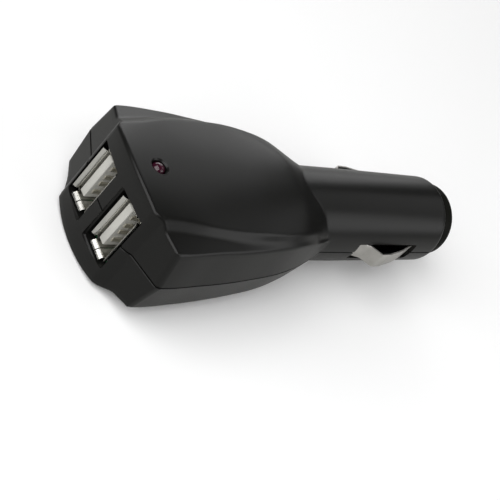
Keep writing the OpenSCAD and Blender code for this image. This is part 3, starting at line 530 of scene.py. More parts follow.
def quarter_skin():
    """Columns of points for the quarter with y and z above zero, each column a list of rows."""
    columns = []
    for j in range(COLUMNS):
        column = []
        for r in range(HEAD_ROWS + 1):
            x = STARTS[j] + (ENDS[j] - STARTS[j]) * ease(r / HEAD_ROWS)
            y, z = rail_at(j, x)
            column.append((x, y, z))
        angle = math.atan2(column[-1][2], column[-1][1])
        even = math.asin(LIP_Z / NOSE_R) + (math.pi / 2 - math.asin(LIP_Z / NOSE_R)) * j / (COLUMNS - 1)
        for r in range(1, BARREL_ROWS + 1):
            u = r / BARREL_ROWS
            x = ENDS[j] + (BARREL_LEN - ENDS[j]) * u
            a = angle + (even - angle) * min(1, 1.4 * u)**2 * (3 - 2 * min(1, 1.4 * u))
            column.append((x, barrel_radius(x) * math.cos(a), barrel_radius(x) * math.sin(a)))
        for r in range(1, END_ROWS + 1):
            a = math.pi / 2 * r / END_ROWS
            radius = NOSE_R - SHOULDER_R + SHOULDER_R * math.cos(a)
            column.append((BARREL_LEN + SHOULDER_R * math.sin(a), radius * math.cos(even), radius * math.sin(even)))
        columns.append(column)
    return columns


def front_fold(j, top):
    """Points from the start of rail j over the rounding and down the front wall to the rebate."""
    x, y, z = top
    r = rounding(j)
    _, (nx, ny) = front_line(y, z, r)
    fold = []
    for k in range(1, FOLD_STEPS + 1):
        a = math.pi / 2 * k / FOLD_STEPS
        out, down = r * math.sin(a), r * (1 - math.cos(a))
        fold.append((x + out * nx, y + out * ny, z - down))
    px, py, pz = fold[-1]
    centre, corner_r = corner_centre(z), CORNER_R - r
    facet_top, facet_low = COVE[1] - (COVE_R + r) * math.sin(SWEEP), centre[1] + corner_r * math.sin(SWEEP)
    share = min(max((y - facet_top) / (facet_low - facet_top), 0), 1)
    lean = math.tan(DRAFT) * (pz - LIP_Z) * share
    bx, by = px + lean * math.tan(SWEEP), py + lean
    for k in range(1, SIDE_STEPS + 1):
        u = k / SIDE_STEPS
        fold.append((px + (bx - px) * u, py + (by - py) * u, pz + (LIP_Z - pz) * u))
    return fold, (nx, ny)


QUARTER = quarter_skin()
FOLDS = {j: front_fold(j, QUARTER[j][0]) for j in range(EDGE_COLUMN + 1, COLUMNS)}
print("skin rows along the plug:", len(QUARTER[0]))


# %% Join the quarters to a closed half
def half_shell(name, up):
    """Closed solid for one half: up is 1 for the top and -1 for the bottom."""
    mesh = bmesh.new()
    rows = len(QUARTER[0])

    def corner(point, side):
        return mesh.verts.new((point[0] * MM, point[1] * side * MM, point[2] * up * MM))

    outline = {}
    last = COLUMNS - 1
    shared = {}
    for side in (-1, 1):
        grid = {}
        for j, column in enumerate(QUARTER):
            for r, point in enumerate(column):
                key = ("skin", r) if j == last else None
                if key in shared:
                    grid[j, r] = shared[key]
                else:
                    grid[j, r] = corner(point, side)
                    if key:
                        shared[key] = grid[j, r]
        fold = {}
        for j, (points, _) in FOLDS.items():
            for k, point in enumerate(points):
                key = ("fold", k) if j == last else None
                if key in shared:
                    fold[j, k] = shared[key]
                else:
                    fold[j, k] = corner(point, side)
                    if key:
                        shared[key] = fold[j, k]
        quads = []
        for j in range(last):
            for r in range(rows - 1):
                quads.append((grid[j, r], grid[j + 1, r], grid[j + 1, r + 1], grid[j, r + 1]))
        depth = FOLD_STEPS + SIDE_STEPS
        for j in range(EDGE_COLUMN + 1, last):
            above = [grid[j, 0]] + [fold[j, k] for k in range(depth)]
            beside = [grid[j + 1, 0]] + [fold[j + 1, k] for k in range(depth)]
            for k in range(depth):
                quads.append((above[k], above[k + 1], beside[k + 1], beside[k]))
        # The wing's own edge stands for the first fold
        first = [grid[EDGE_COLUMN - k, 0] for k in range(depth + 1)]
        beside = [grid[EDGE_COLUMN + 1, 0]] + [fold[EDGE_COLUMN + 1, k] for k in range(depth)]
        for k in range(depth):
            quads.append((first[k], first[k + 1], beside[k + 1], beside[k]))
        for quad in quads:
            mesh.faces.new(quad)
        # The split's outline, from the middle of the face round to the barrel's end
        low = [(fold[j, depth - 1], FOLDS[j][1]) for j in range(last, EDGE_COLUMN, -1)]
        low += [(grid[0, r], (0, 1)) for r in range(rows)]
        ring = []
        for vert, (nx, ny) in low:
            at_end = vert.co.x > (BARREL_END - SHOULDER_R * 0.999) * MM
            inner = []
            for depth_in, z in ((REBATE_LIP, REBATE_Z), (REBATE_DEPTH, REBATE_Z), (REBATE_DEPTH, 0)):
                dx, dy = (0, -depth_in) if at_end else (-nx * depth_in, -ny * depth_in)
                spot = (vert.co.x / MM + dx, abs(vert.co.y) / MM + dy, z)
                inner.append(None if spot is None else spot)
            ring.append((vert, inner))
        outline[side] = ring
    shared_low = {}
    loops = {}
    for side in (-1, 1):
        loops[side] = [[], [], [], []]
        for n, (vert, inner) in enumerate(outline[side]):
            loops[side][0].append(vert)
            for k, spot in enumerate(inner):
                if n == 0 and (k, n) in shared_low:
                    loops[side][k + 1].append(shared_low[k, n])
                    continue
                made = corner((spot[0], max(spot[1], 0.0), spot[2]), side if n else 1)
                if n == 0:
                    shared_low[k, n] = made
                loops[side][k + 1].append(made)
        for k in range(3):
            a, b = loops[side][k], loops[side][k + 1]
            for n in range(len(a) - 1):
                mesh.faces.new((a[n], a[n + 1], b[n + 1], b[n]))
    # Bottom at the split and the flat end of the barrel
    bottom = loops[1][3] + loops[-1][3][:0:-1]
    mesh.faces.new(bottom)
    mesh.verts.ensure_lookup_table()
    boundary = [e for e in mesh.edges if len(e.link_faces) == 1]
    bmesh.ops.contextual_create(mesh, geom=boundary)
    bmesh.ops.recalc_face_normals(mesh, faces=mesh.faces)
    data = bpy.data.meshes.new(name)
    mesh.to_mesh(data)
    mesh.free()
    made = bpy.data.objects.new(name, data)
    bpy.context.scene.collection.objects.link(made)
    print(name, "has", len(data.polygons), "faces before its openings are cut")
    return made


top_shell = half_shell("top_shell", 1)
bottom_shell = half_shell("bottom_shell", -1)

# %% [markdown]
# Now the openings. The cavity is the same section taken in by the wall. The bore narrows with the
# barrel. Port pockets, the lamp's hole and the side slots break through the wall, and their rims
# get a small chamfer where a mould would leave one.

# %% Openings of the housing
HEAD_WALL, FRONT_WALL, BARREL_WALL = 1.8, 1.2, 1.5
BORE_R, BORE_BACK, THREAD_R, THREAD_LEN = BARREL_R - BARREL_WALL, 11.0, 7.65, 6.2
SLOT_X, SLOT_END, SLOT_HALF, SLOT_ROUND = 9.4, 29.2, 2.6, 0.3
CHANNEL_LEN, CHANNEL_DEPTH = 3.6, 0.5
PORT_Y, PORT_W, PORT_H, LIP_FLARE = 5.55, 5.8, 13.2, 0.6
POCKET_W, POCKET_H = PORT_W / 2 + LIP_FLARE + 0.45, PORT_H / 2 + LIP_FLARE + 0.25
LENS_X, LENS_R, LENS_GAP = FACE_X + 4.8, 1.5, 0.12
CROWN_Z = BLOCK_H + CROWN
CUT = 1.0


def inner_section(t):
    side, edge, root, panel, crest = rails(t)
    crest = crest - HEAD_WALL
    side, edge, root, panel = side - (HEAD_WALL, 0), edge - HEAD_WALL, root - HEAD_WALL, panel - HEAD_WALL
    shares = [1 - k / 8 for k in range(17)]
    right = [side, toward(edge, side, RIDGE_R), toward(edge, root, RIDGE_R), toward(root, panel, RIDGE_R)]
    top = [(panel[0] * s, crest - (crest - panel[1]) * abs(s)**CROWN_POWER) for s in shares]
    return [tuple(p) for p in right] + top + [(-p[0], p[1]) for p in reversed(right)]


def cavity(up):
    rings = []
    for t in np.linspace(FRONT_WALL / HEAD_LEN, 0.965, 34):
        ring = inner_section(t)
        rings.append([(FACE_X + t * HEAD_LEN, y, z * up) for y, z in ring])
    for ring in rings:
        ring[0] = (ring[0][0], ring[0][1], -0.01 * up)
        ring[-1] = (ring[-1][0], ring[-1][1], -0.01 * up)
    made = loft("cavity", rings)
    # Solid plastic stays behind the facets and coves
    for side in (-1, 1):
        arc = [(COVE[0] + (COVE_R + HEAD_WALL) * math.cos(a), side * (COVE[1] + (COVE_R + HEAD_WALL) * math.sin(a)))
               for a in np.linspace(-math.pi / 2, -SWEEP, 7)]
        far_y = WING_W + CUT
        plan = [(FACE_X - CUT, arc[0][1])] + arc + [(facet_x(far_y, HEAD_WALL), side * far_y), (FACE_X - CUT, side * far_y)]
        carve(made, prism("behind_facet", plan, -20, 20))
    return made


def slot_cutters(side):
    """The slot through the wall, and the channel behind it in which the contact lies."""
    middle = (SLOT_X + SLOT_END) / 2
    shape = [(middle + a, b) for a, b in rounded_box((SLOT_END - SLOT_X) / 2, SLOT_HALF, SLOT_ROUND)]
    yield prism("slot", shape, *sorted((side * (BORE_R - BARREL_WALL), side * 12)), axis="y")
    back_x = SLOT_X - CHANNEL_LEN
    yield prism("channel", [(back_x, -SLOT_HALF), (SLOT_X + CUT, -SLOT_HALF), (SLOT_X + CUT, SLOT_HALF),
                            (back_x, SLOT_HALF)],
                *sorted((side * (BORE_R - BARREL_WALL), side * (BORE_R + CHANNEL_DEPTH))), axis="y")


def pocket_cutter(side):
    """The port's pocket, wider at the very front for the chamfer round its mouth."""
    front = FACE_X - BULGE - CUT
    face = FACE_X - BULGE + (FACE_R - math.sqrt(FACE_R**2 - PORT_Y**2))
    rings = []
    for x, grow in ((front, 0.25), (face, 0.22), (face + 0.3, 0.0), (FACE_X + FRONT_WALL + CUT, 0.0)):
        rings.append([(x, side * PORT_Y + a, b) for a, b in rounded_box(POCKET_W + grow, POCKET_H + grow, 0.35 + grow)])
    return loft("pocket", rings)


def open_up(shell, up):
    carve(shell, cavity(up))
    thread_x = BARREL_END - THREAD_LEN
    carve(shell, turned("bore", [(-BORE_BACK, 0), (-BORE_BACK, BORE_R), (SEAT_LEN, BORE_R),
                                 (thread_x, NOSE_R - BARREL_WALL), (thread_x, THREAD_R),
                                 (BARREL_END - 0.3, THREAD_R), (BARREL_END + 0.2, THREAD_R + 0.5),
                                 (BARREL_END + CUT, THREAD_R + 0.5), (BARREL_END + CUT, 0)]))
    for side in (-1, 1):
        for tool in slot_cutters(side):
            carve(shell, tool)
        carve(shell, pocket_cutter(side))
    print(shell.name, "opened:", len(shell.data.polygons), "faces")


open_up(top_shell, 1)
open_up(bottom_shell, -1)
hole_r = LENS_R + LENS_GAP
carve(top_shell, turned("lamp_hole", [(0, 0), (0, hole_r), (CROWN_Z - 0.35, hole_r), (CROWN_Z + 0.1, hole_r + 0.4),
                                      (CROWN_Z + CUT, hole_r + 0.4), (CROWN_Z + CUT, 0)], 64, "z", (LENS_X, 0)))

# %% [markdown]
# Inside, each half has what such a moulding needs: bosses with pins and holes that line the
# halves up, the cross wall for the spring's cup, clamps for the side contacts and, in the lower
# half, posts under the board.

# %% Inner walls, clamps and bosses
BOSS_R, PIN_R, PIN_GAP, PIN_LEN = 1.8, 0.9, 0.08, 2.4
BOSS_SHARES, POST_SHARES = (0.23, 0.62), (0.15, 0.47)
CLAMP_BACK, CLAMP_FRONT, ROOT_X, CLAMP_Y = 1.4, 1.0, -1.0, BORE_R - 1.0
CUP_BODY_R, BULKHEAD_X, BULKHEAD_T = 3.25, 2.0, 2.0
STRIP_T, ROOT_GAP = 0.45, 0.35
BOARD_Z, BOARD_T, BOARD_HALF_W = -PORT_H / 2, 1.6, 8.8


def add_box(piece, low, high, up, how="UNION"):
    z = sorted((low[2] * up, high[2] * up))
    carve(piece, prism("block", [(low[0], low[1]), (high[0], low[1]), (high[0], high[1]), (low[0], high[1])], *z), how)


def post(x, y, r, low, high):
    return turned("post", [(low, 0), (low, r), (high, r), (high, 0)], 32, "z", (x, y))


def furnish(shell, up):
    wall = turned("cross_wall", [(BULKHEAD_X, 0), (BULKHEAD_X, BORE_R + 0.75), (BULKHEAD_X + BULKHEAD_T, BORE_R + 0.75),
                                 (BULKHEAD_X + BULKHEAD_T, 0)])
    add_box(wall, (0, -12, -12), (5, 12, 0), up, "DIFFERENCE")
    carve(wall, turned("cup_hole", [(0, 0), (0, CUP_BODY_R + 0.05), (6, CUP_BODY_R + 0.05), (6, 0)]))
    for side in (-1, 1):
        y = sorted((side * (BORE_R - 2.73), side * 11))
        add_box(wall, (0, y[0], -1), (6, y[1], SLOT_HALF), up, "DIFFERENCE")
    carve(shell, wall, "UNION")
    for side in (-1, 1):
        y = sorted((side * (CLAMP_Y - 1.4), side * (CLAMP_Y + 1.5)))
        clamp = prism("clamp", [(ROOT_X - CLAMP_BACK, y[0]), (ROOT_X + CLAMP_FRONT, y[0]), (ROOT_X + CLAMP_FRONT, y[1]),
                                (ROOT_X - CLAMP_BACK, y[1])], *sorted((0, up * (SLOT_HALF + 1.3))))
        gap = sorted((side * (CLAMP_Y - STRIP_T / 2 - ROOT_GAP), side * (CLAMP_Y + STRIP_T / 2 + ROOT_GAP)))
        add_box(clamp, (ROOT_X - 4, gap[0], -1), (ROOT_X + 4, gap[1], SLOT_HALF), up, "DIFFERENCE")
        carve(shell, clamp, "UNION")
        for t in BOSS_SHARES:
            x, y = FACE_X + t * HEAD_LEN, side * (rails(t)[0][0] - HEAD_WALL - BOSS_R - RIDGE_R)
            top = rails(t)[1][1] - HEAD_WALL * 0.4
            carve(shell, post(x, y, BOSS_R, *sorted((0, up * top))), "UNION")
            if up > 0:
                carve(shell, post(x, y, PIN_R + PIN_GAP, -1, PIN_LEN + PIN_GAP))
            else:
                carve(shell, post(x, y, PIN_R, -0.5, PIN_LEN), "UNION")
        if up < 0:
            for t in POST_SHARES:
                foot = 0.5 - rails(t)[4]
                carve(shell, post(FACE_X + t * HEAD_LEN, side * BOARD_HALF_W * 0.62, 1.0, foot, BOARD_Z - BOARD_T), "UNION")


furnish(top_shell, 1)
furnish(bottom_shell, -1)
dress(top_shell, abs_black, "plug", "housing_plastic", "top_housing")
dress(bottom_shell, abs_black, "plug", "housing_plastic", "bottom_housing")

# %% [markdown]
# Metals come next. Bright nickel plate shows fine lines from the drawing and bending of the sheet,
# and its roughness wanders a little. Gold plate on the contacts is softer and warmer.

# %% Metals
def metal(name, colour, roughness, line_mm, line_depth_mm, stretch=(1, 1, 1), tarnish="#6f6c66", tarnish_amount=0.25):
    """Plated metal. The lines run along the axis whose stretch is small."""
    material = bpy.data.materials.new(name)
    material.use_nodes = True
    tree = material.node_tree
    shader = tree.nodes["Principled BSDF"]
    shader.inputs["Metallic"].default_value = 1.0
    place = node(tree, "ShaderNodeTexCoord")
    along = node(tree, "ShaderNodeMapping", links={"Vector": place.outputs["Object"]})
    along.inputs["Scale"].default_value = stretch
    lines = node(tree, "ShaderNodeTexNoise", links={"Vector": along.outputs["Vector"]},
                 Scale=1 / (line_mm * MM), Detail=3.0, Roughness=0.55)
    cloud = node(tree, "ShaderNodeTexNoise", links={"Vector": place.outputs["Object"]}, Scale=1 / (2.5 * MM), Detail=4.0)
    spots = node(tree, "ShaderNodeMapRange", {}, {"Value": cloud.outputs["Fac"]}, From_Min=0.45, From_Max=0.8,
                 To_Max=tarnish_amount)
    tint = node(tree, "ShaderNodeMix", {"data_type": "RGBA"}, {"Factor": spots.outputs["Result"]})
    tint.inputs[6].default_value, tint.inputs[7].default_value = srgb(colour), srgb(tarnish)
    tree.links.new(tint.outputs[2], shader.inputs["Base Color"])
    gloss = node(tree, "ShaderNodeMapRange", {}, {"Value": lines.outputs["Fac"]},
                 To_Min=roughness * 0.75, To_Max=roughness * 1.3)
    tree.links.new(gloss.outputs["Result"], shader.inputs["Roughness"])
    bump = node(tree, "ShaderNodeBump", links={"Height": lines.outputs["Fac"]}, Strength=1.0, Distance=line_depth_mm * MM)
    tree.links.new(bump.outputs["Normal"], shader.inputs["Normal"])
    return material


strip_nickel = metal("nickel_plated_spring_strip", "#c2c0bc", 0.3, 0.5, 0.002, (0.15, 1, 1))
shell_nickel = metal("nickel_plated_port_shell", "#cecdc8", 0.22, 0.4, 0.0015, (1, 1, 0.15))
pin_nickel = metal("nickel_plated_turned_pin", "#cbc8c1", 0.22, 0.25, 0.0015, (1, 0.2, 0.2))
contact_gold = metal("gold_flashed_contact", "#dcd8ca", 0.5, 0.3, 0.001)
spring_steel = metal("drawn_spring_wire", "#a9acb0", 0.3, 0.2, 0.001)

# %% [markdown]
# The side contacts are strips of spring steel, bent over a former. A strip that follows a path is
# work for Geometry Nodes: a curve through the bends, a fillet at each bend, and a rounded
# rectangle swept along it. The tree's inputs are the strip's real sizes.

# %% A tree that sweeps a strip
def new_tree(name, inputs):
    """An empty tree with named inputs, each given as its socket type and its value."""
    tree = bpy.data.node_groups.new(name, "GeometryNodeTree")
    tree.interface.new_socket("Geometry", in_out="INPUT", socket_type="NodeSocketGeometry")
    for label, (kind, value) in inputs.items():
        made = tree.interface.new_socket(label, in_out="INPUT", socket_type=kind)
        if value is not None:
            made.default_value = value
    tree.interface.new_socket("Geometry", in_out="OUTPUT", socket_type="NodeSocketGeometry")
    return tree, tree.nodes.new("NodeGroupInput"), tree.nodes.new("NodeGroupOutput")


def grow(name, source, tree, material, **values):
    """Runs a tree on a source mesh in metres and returns the result as a plain mesh object."""
    piece = bpy.data.objects.new(name, source)
    bpy.context.scene.collection.objects.link(piece)
    step = piece.modifiers.new(tree.name, "NODES")
    step.node_group = tree
    sockets = {s.name: s.identifier for s in tree.interface.items_tree if s.in_out == "INPUT"}
    step[sockets["Material"]] = material
    for label, value in values.items():
        step[sockets[label.replace("_", " ")]] = value
    graph = bpy.context.evaluated_depsgraph_get()
    result = bpy.data.meshes.new_from_object(piece.evaluated_get(graph))
    piece.modifiers.clear()
    piece.data = result
    result.name = name
    return piece


def path_mesh(points):
    """A bare line of edges for a tree to read."""
    data = bpy.data.meshes.new("path")
    data.from_pydata([tuple(c * MM for c in p) for p in points], [(k, k + 1) for k in range(len(points) - 1)], [])
    return data


FLOAT, MATERIAL = "NodeSocketFloat", "NodeSocketMaterial"
strip_tree, given, out = new_tree("bent_strip", {
    "Width": (FLOAT, 0.0045), "Thickness": (FLOAT, 0.00045), "Bend Radius": (FLOAT, 0.0008),
    "Edge Round": (FLOAT, 0.00012), "Material": (MATERIAL, None)})
line = node(strip_tree, "GeometryNodeMeshToCurve", links={"Mesh": given.outputs["Geometry"]})
bent = node(strip_tree, "GeometryNodeFilletCurve", {"mode": "POLY"},
            {"Curve": line.outputs["Curve"], "Radius": given.outputs["Bend Radius"]}, Count=8)
bent.inputs["Limit Radius"].default_value = True
upright = node(strip_tree, "GeometryNodeSetCurveNormal", {"mode": "Z_UP"}, {"Curve": bent.outputs["Curve"]})
rect = node(strip_tree, "GeometryNodeCurvePrimitiveQuadrilateral", {},
            {"Width": given.outputs["Thickness"], "Height": given.outputs["Width"]})
soft = node(strip_tree, "GeometryNodeFilletCurve", {"mode": "POLY"},
            {"Curve": rect.outputs["Curve"], "Radius": given.outputs["Edge Round"]}, Count=4)
swept = node(strip_tree, "GeometryNodeCurveToMesh", {},
             {"Curve": upright.outputs["Curve"], "Profile Curve": soft.outputs["Curve"]}, Fill_Caps=True)
real = node(strip_tree, "GeometryNodeRealizeInstances", {}, {"Geometry": swept.outputs["Mesh"]})
painted = node(strip_tree, "GeometryNodeSetMaterial", {},
               {"Geometry": real.outputs["Geometry"], "Material": given.outputs["Material"]})
strip_tree.links.new(painted.outputs["Geometry"], out.inputs["Geometry"])

# %% Side contacts
STRIP_W, CREST_REACH, STRIP_END_GAP, ROOT_TAIL = 4.5, 2.2, 0.45, 1.6
CREST_Y = BARREL_R + CREST_REACH - STRIP_T / 2
BENDS = [(0, 0), (0.264, 0), (0.515, 0.47), (0.593, 1), (0.673, 0.98), (0.84, 0.715), (0.96, 0.4), (1, 0.145)]
strip_back = ROOT_X - ROOT_TAIL
strip_run = SLOT_END - STRIP_END_GAP - strip_back
for side, word in ((-1, "near"), (1, "far")):
    points = [(strip_back + strip_run * s, side * (CLAMP_Y + (CREST_Y - CLAMP_Y) * c), 0) for s, c in BENDS]
    strip = grow(f"{word}_contact_strip", path_mesh(points), strip_tree, strip_nickel,
                 Width=STRIP_W * MM, Thickness=STRIP_T * MM, Bend_Radius=0.45 * MM, Edge_Round=0.1 * MM)
    dress(strip, strip_nickel, f"{word}_contact", "side_contact_steel", f"{word}_side_contact", angle=30)
    low, high = (c / MM for c in (Vector(strip.bound_box[0]), Vector(strip.bound_box[6])))
    print(word, "strip spans", [round(v, 2) for v in low], "to", [round(v, 2) for v in high])

# %% [markdown]
# A coil is a helix with a wire swept along it. One tree serves the contact spring and the thread on
# the nose ring's neck. A spring's closed end turns come from the way the place along the axis grows
# with the turns: slowly at both ends, where the turns touch, and faster between them.

# %% A tree that winds a coil
coil_tree, given, out = new_tree("wound_coil", {
    "Turns": (FLOAT, 7.0), "Coil Radius": (FLOAT, 0.0023), "Wire Radius": (FLOAT, 0.0003), "Start": (FLOAT, 0.0),
    "Length": (FLOAT, 0.017), "Closed Share": (FLOAT, 0.12), "Closed Pitch": (FLOAT, 0.0006),
    "Wire Sides": ("NodeSocketInt", 12), "Steps": ("NodeSocketInt", 280), "Material": (MATERIAL, None)})


base = node(coil_tree, "GeometryNodeCurvePrimitiveLine")
fine = node(coil_tree, "GeometryNodeResampleCurve", {}, {"Curve": base.outputs["Curve"], "Count": given.outputs["Steps"]})
spot = node(coil_tree, "GeometryNodeSplineParameter")
# Each step of the sum has a name, an operation and its terms: a number, an input or an earlier step
STEPS = [("turned", "MULTIPLY", "u", "Turns"), ("angle", "MULTIPLY", "turned", 2 * math.pi),
         ("start share", "MINIMUM", "u", "Closed Share"), ("past", "SUBTRACT", "u", "Closed Share"),
         ("twice", "MULTIPLY", "Closed Share", 2.0), ("free share", "SUBTRACT", 1.0, "twice"),
         ("end part", "SUBTRACT", "past", "free share"), ("end share", "MAXIMUM", "end part", 0.0),
         ("closed part", "ADD", "start share", "end share"), ("closed turns", "MULTIPLY", "closed part", "Turns"),
         ("closed rise", "MULTIPLY", "closed turns", "Closed Pitch"),
         ("all closed", "MULTIPLY", "twice", "Turns"), ("closed length", "MULTIPLY", "all closed", "Closed Pitch"),
         ("free length", "SUBTRACT", "Length", "closed length"), ("free part", "DIVIDE", "past", "free share"),
         ("above", "MAXIMUM", "free part", 0.0), ("within", "MINIMUM", "above", 1.0),
         ("free rise", "MULTIPLY", "free length", "within"), ("rise", "ADD", "closed rise", "free rise"),
         ("x", "ADD", "Start", "rise"), ("cosine", "COSINE", "angle"), ("sine", "SINE", "angle"),
         ("y", "MULTIPLY", "Coil Radius", "cosine"), ("z", "MULTIPLY", "Coil Radius", "sine")]
known = {"u": spot.outputs["Factor"], **{s.name: s for s in given.outputs}}
for label, operation, *terms in STEPS:
    step = node(coil_tree, "ShaderNodeMath", {"operation": operation}, {k: known.get(t, t) for k, t in enumerate(terms)})
    known[label] = step.outputs["Value"]
where = node(coil_tree, "ShaderNodeCombineXYZ", {}, {"X": known["x"], "Y": known["y"], "Z": known["z"]})
helix = node(coil_tree, "GeometryNodeSetPosition", {}, {"Geometry": fine.outputs["Curve"], "Position": where.outputs["Vector"]})
wire = node(coil_tree, "GeometryNodeCurvePrimitiveCircle", {},
            {"Resolution": given.outputs["Wire Sides"], "Radius": given.outputs["Wire Radius"]})
wound = node(coil_tree, "GeometryNodeCurveToMesh", {},
             {"Curve": helix.outputs["Geometry"], "Profile Curve": wire.outputs["Curve"]}, Fill_Caps=True)
real = node(coil_tree, "GeometryNodeRealizeInstances", {}, {"Geometry": wound.outputs["Mesh"]})
painted = node(coil_tree, "GeometryNodeSetMaterial", {},
               {"Geometry": real.outputs["Geometry"], "Material": given.outputs["Material"]})
coil_tree.links.new(painted.outputs["Geometry"], out.inputs["Geometry"])

# %% Contact spring
spring_low, spring_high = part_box("contact_spring")
SPRING_R, SPRING_WIRE_R, SPRING_TURNS, PUSH = 2.3, 0.3, 7, 3.0
spring_len = (spring_high.x - spring_low.x) / MM
spring = grow("push_spring", path_mesh([(0, 0, 0)]), coil_tree, spring_steel,
              Turns=float(SPRING_TURNS), Coil_Radius=SPRING_R * MM, Wire_Radius=SPRING_WIRE_R * MM,
              Start=spring_low.x + SPRING_WIRE_R * MM, Length=(spring_len - 2 * SPRING_WIRE_R) * MM,
              Closed_Share=0.12, Closed_Pitch=2.1 * SPRING_WIRE_R * MM)
dress(spring, spring_steel, "plug", "spring_steel", "contact_spring", angle=60)
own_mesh(spring)
print("spring length:", round(spring_len, 2), "mm")

# %% [markdown]
# The nose ring is turned or moulded in one piece: a rounded front, a smooth outside and a neck that
# screws into the barrel. The thread is a helix of triangular wire that just breaks the neck's skin.

# %% Nose ring
RING_FRONT, RING_R, RING_ROUND, NECK_R, NECK_LEN = 41.9, 8.6, 1.2, 7.6, 6.0
NECK_BORE, RING_WALL, RING_HOLE = 6.4, 1.6, 3.9


def arc(cx, cr, r, start, end, steps=8):
    """Points of a profile along a quarter arc, as place and radius."""
    return [(cx + r * math.cos(a), cr + r * math.sin(a)) for a in np.linspace(math.radians(start), math.radians(end), steps)]


ring = turned("nose_ring_shell", [(BARREL_END - NECK_LEN, NECK_BORE), (BARREL_END - NECK_LEN, NECK_R - 0.6),
                                  (BARREL_END - NECK_LEN + 0.4, NECK_R - 0.3), (BARREL_END - 0.4, NECK_R - 0.3),
                                  (BARREL_END - 0.2, NECK_R - 0.5), (BARREL_END, NECK_R - 0.5),
                                  (BARREL_END, RING_R - 0.15)]
              + arc(BARREL_END + 0.15, RING_R - 0.15, 0.15, 180, 90, 4)
              + arc(RING_FRONT - RING_ROUND, RING_R - RING_ROUND, RING_ROUND, 90, 0, 12)
              + [(RING_FRONT, RING_HOLE + 0.3), (RING_FRONT - 0.09, RING_HOLE + 0.09), (RING_FRONT - 0.3, RING_HOLE),
                 (RING_FRONT - RING_WALL, RING_HOLE), (RING_FRONT - RING_WALL, NECK_BORE)], 128)
thread = grow("thread", path_mesh([(0, 0, 0)]), coil_tree, ring_black, Turns=5.0, Coil_Radius=(NECK_R - 0.38) * MM,
              Wire_Radius=0.36 * MM, Start=(BARREL_END - NECK_LEN + 0.45) * MM, Length=(NECK_LEN - 1.2) * MM,
              Closed_Share=0.0, Closed_Pitch=0.0, Wire_Sides=4, Steps=320)
carve(ring, thread, "UNION", "EXACT")
dress(ring, ring_black, "plug", "ring_plastic", "nose_ring")

# %% Centre contact
FLANGE_BACK, FLANGE_T, FLANGE_R, TIP_R, TIP_END, TIP_ROUND = 39.05, 1.2, 6.0, 3.5, 46.9, 1.4
SLEEVE_IN, CUP_WALL, CUP_DEPTH = 2.7, 0.6, 3.6
pin = turned("nose_pin", [(FLANGE_BACK, 0), (FLANGE_BACK, SLEEVE_IN), (FLANGE_BACK - CUP_DEPTH, SLEEVE_IN),
                          (FLANGE_BACK - CUP_DEPTH, SLEEVE_IN + CUP_WALL), (FLANGE_BACK - 0.1, SLEEVE_IN + CUP_WALL),
                          (FLANGE_BACK, SLEEVE_IN + CUP_WALL + 0.1), (FLANGE_BACK, FLANGE_R - 0.12),
                          (FLANGE_BACK + 0.12, FLANGE_R), (FLANGE_BACK + FLANGE_T - 0.12, FLANGE_R),
                          (FLANGE_BACK + FLANGE_T, FLANGE_R - 0.12), (FLANGE_BACK + FLANGE_T, TIP_R + 0.15),
                          (FLANGE_BACK + FLANGE_T + 0.15, TIP_R)]
             + arc(TIP_END - TIP_ROUND, TIP_R - TIP_ROUND, TIP_ROUND, 90, 0, 12) + [(TIP_END, 0)], 96)
dress(pin, pin_nickel, "nose", "contact_nickel", "centre_contact")

# %% [markdown]
# A USB socket's shell is folded from thin sheet. Its mouth flares so that a plug finds its way in,
# the lips are parted at the corners, and the seam shows in the bottom lip. It is lofted as one
# tube with two walls, and the corners and the seam are cut after.

# %% Port shells
MOUTH_X, LIP_LEN, PORT_DEPTH, SHEET_T, SHELL_ROUND = FACE_X - 0.35, 1.1, 14.0, 0.35, 0.5
SEAM, LIP_TILT, LIP_STEPS = 0.22, math.radians(70), 10
LIP_BEND_R = (LIP_FLARE + SHEET_T * (1 - math.cos(LIP_TILT))) / (1 - math.cos(LIP_TILT))


def port_shell(side):
    """The tube's inner skin from mouth to back, then its outer skin back to the mouth."""
    def ring(x, flare, out):
        shape = rounded_box(PORT_W / 2 - SHEET_T + flare + out, PORT_H / 2 - SHEET_T + flare + out,
                            SHELL_ROUND - SHEET_T + flare + out)
        return [(x, side * PORT_Y + a, b) for a, b in shape]

    lip_x = MOUTH_X + LIP_BEND_R * math.sin(LIP_TILT)
    tilts = np.linspace(LIP_TILT, 0, LIP_STEPS + 1)
    rings = [ring(lip_x - LIP_BEND_R * math.sin(a), LIP_BEND_R * (1 - math.cos(a)), 0) for a in tilts]
    rings += [ring(MOUTH_X + PORT_DEPTH, 0, out) for out in (0, SHEET_T)]
    rings += [ring(lip_x - (LIP_BEND_R - SHEET_T) * math.sin(a), LIP_BEND_R * (1 - math.cos(a)), SHEET_T * math.cos(a))
              for a in reversed(tilts)]
    shell = loft("shell", rings, closed=True)
    reach = LIP_LEN + 0.35
    for sy in (-1, 1):
        for sz in (-1, 1):
            y = sorted((side * PORT_Y + sy * (PORT_W / 2 - 0.75), side * PORT_Y + sy * (PORT_W / 2 + 2)))
            z = sorted((sz * (PORT_H / 2 - 0.75), sz * (PORT_H / 2 + 2)))
            carve(shell, prism("corner", [(MOUTH_X - 1, y[0]), (MOUTH_X + reach, y[0]), (MOUTH_X + reach, y[1]),
                                          (MOUTH_X - 1, y[1])], *z))
    carve(shell, prism("seam", [(MOUTH_X - 1, side * PORT_Y - SEAM / 2), (MOUTH_X + 20, side * PORT_Y - SEAM / 2),
                                (MOUTH_X + 20, side * PORT_Y + SEAM / 2), (MOUTH_X - 1, side * PORT_Y + SEAM / 2)], -9, -5))
    return shell


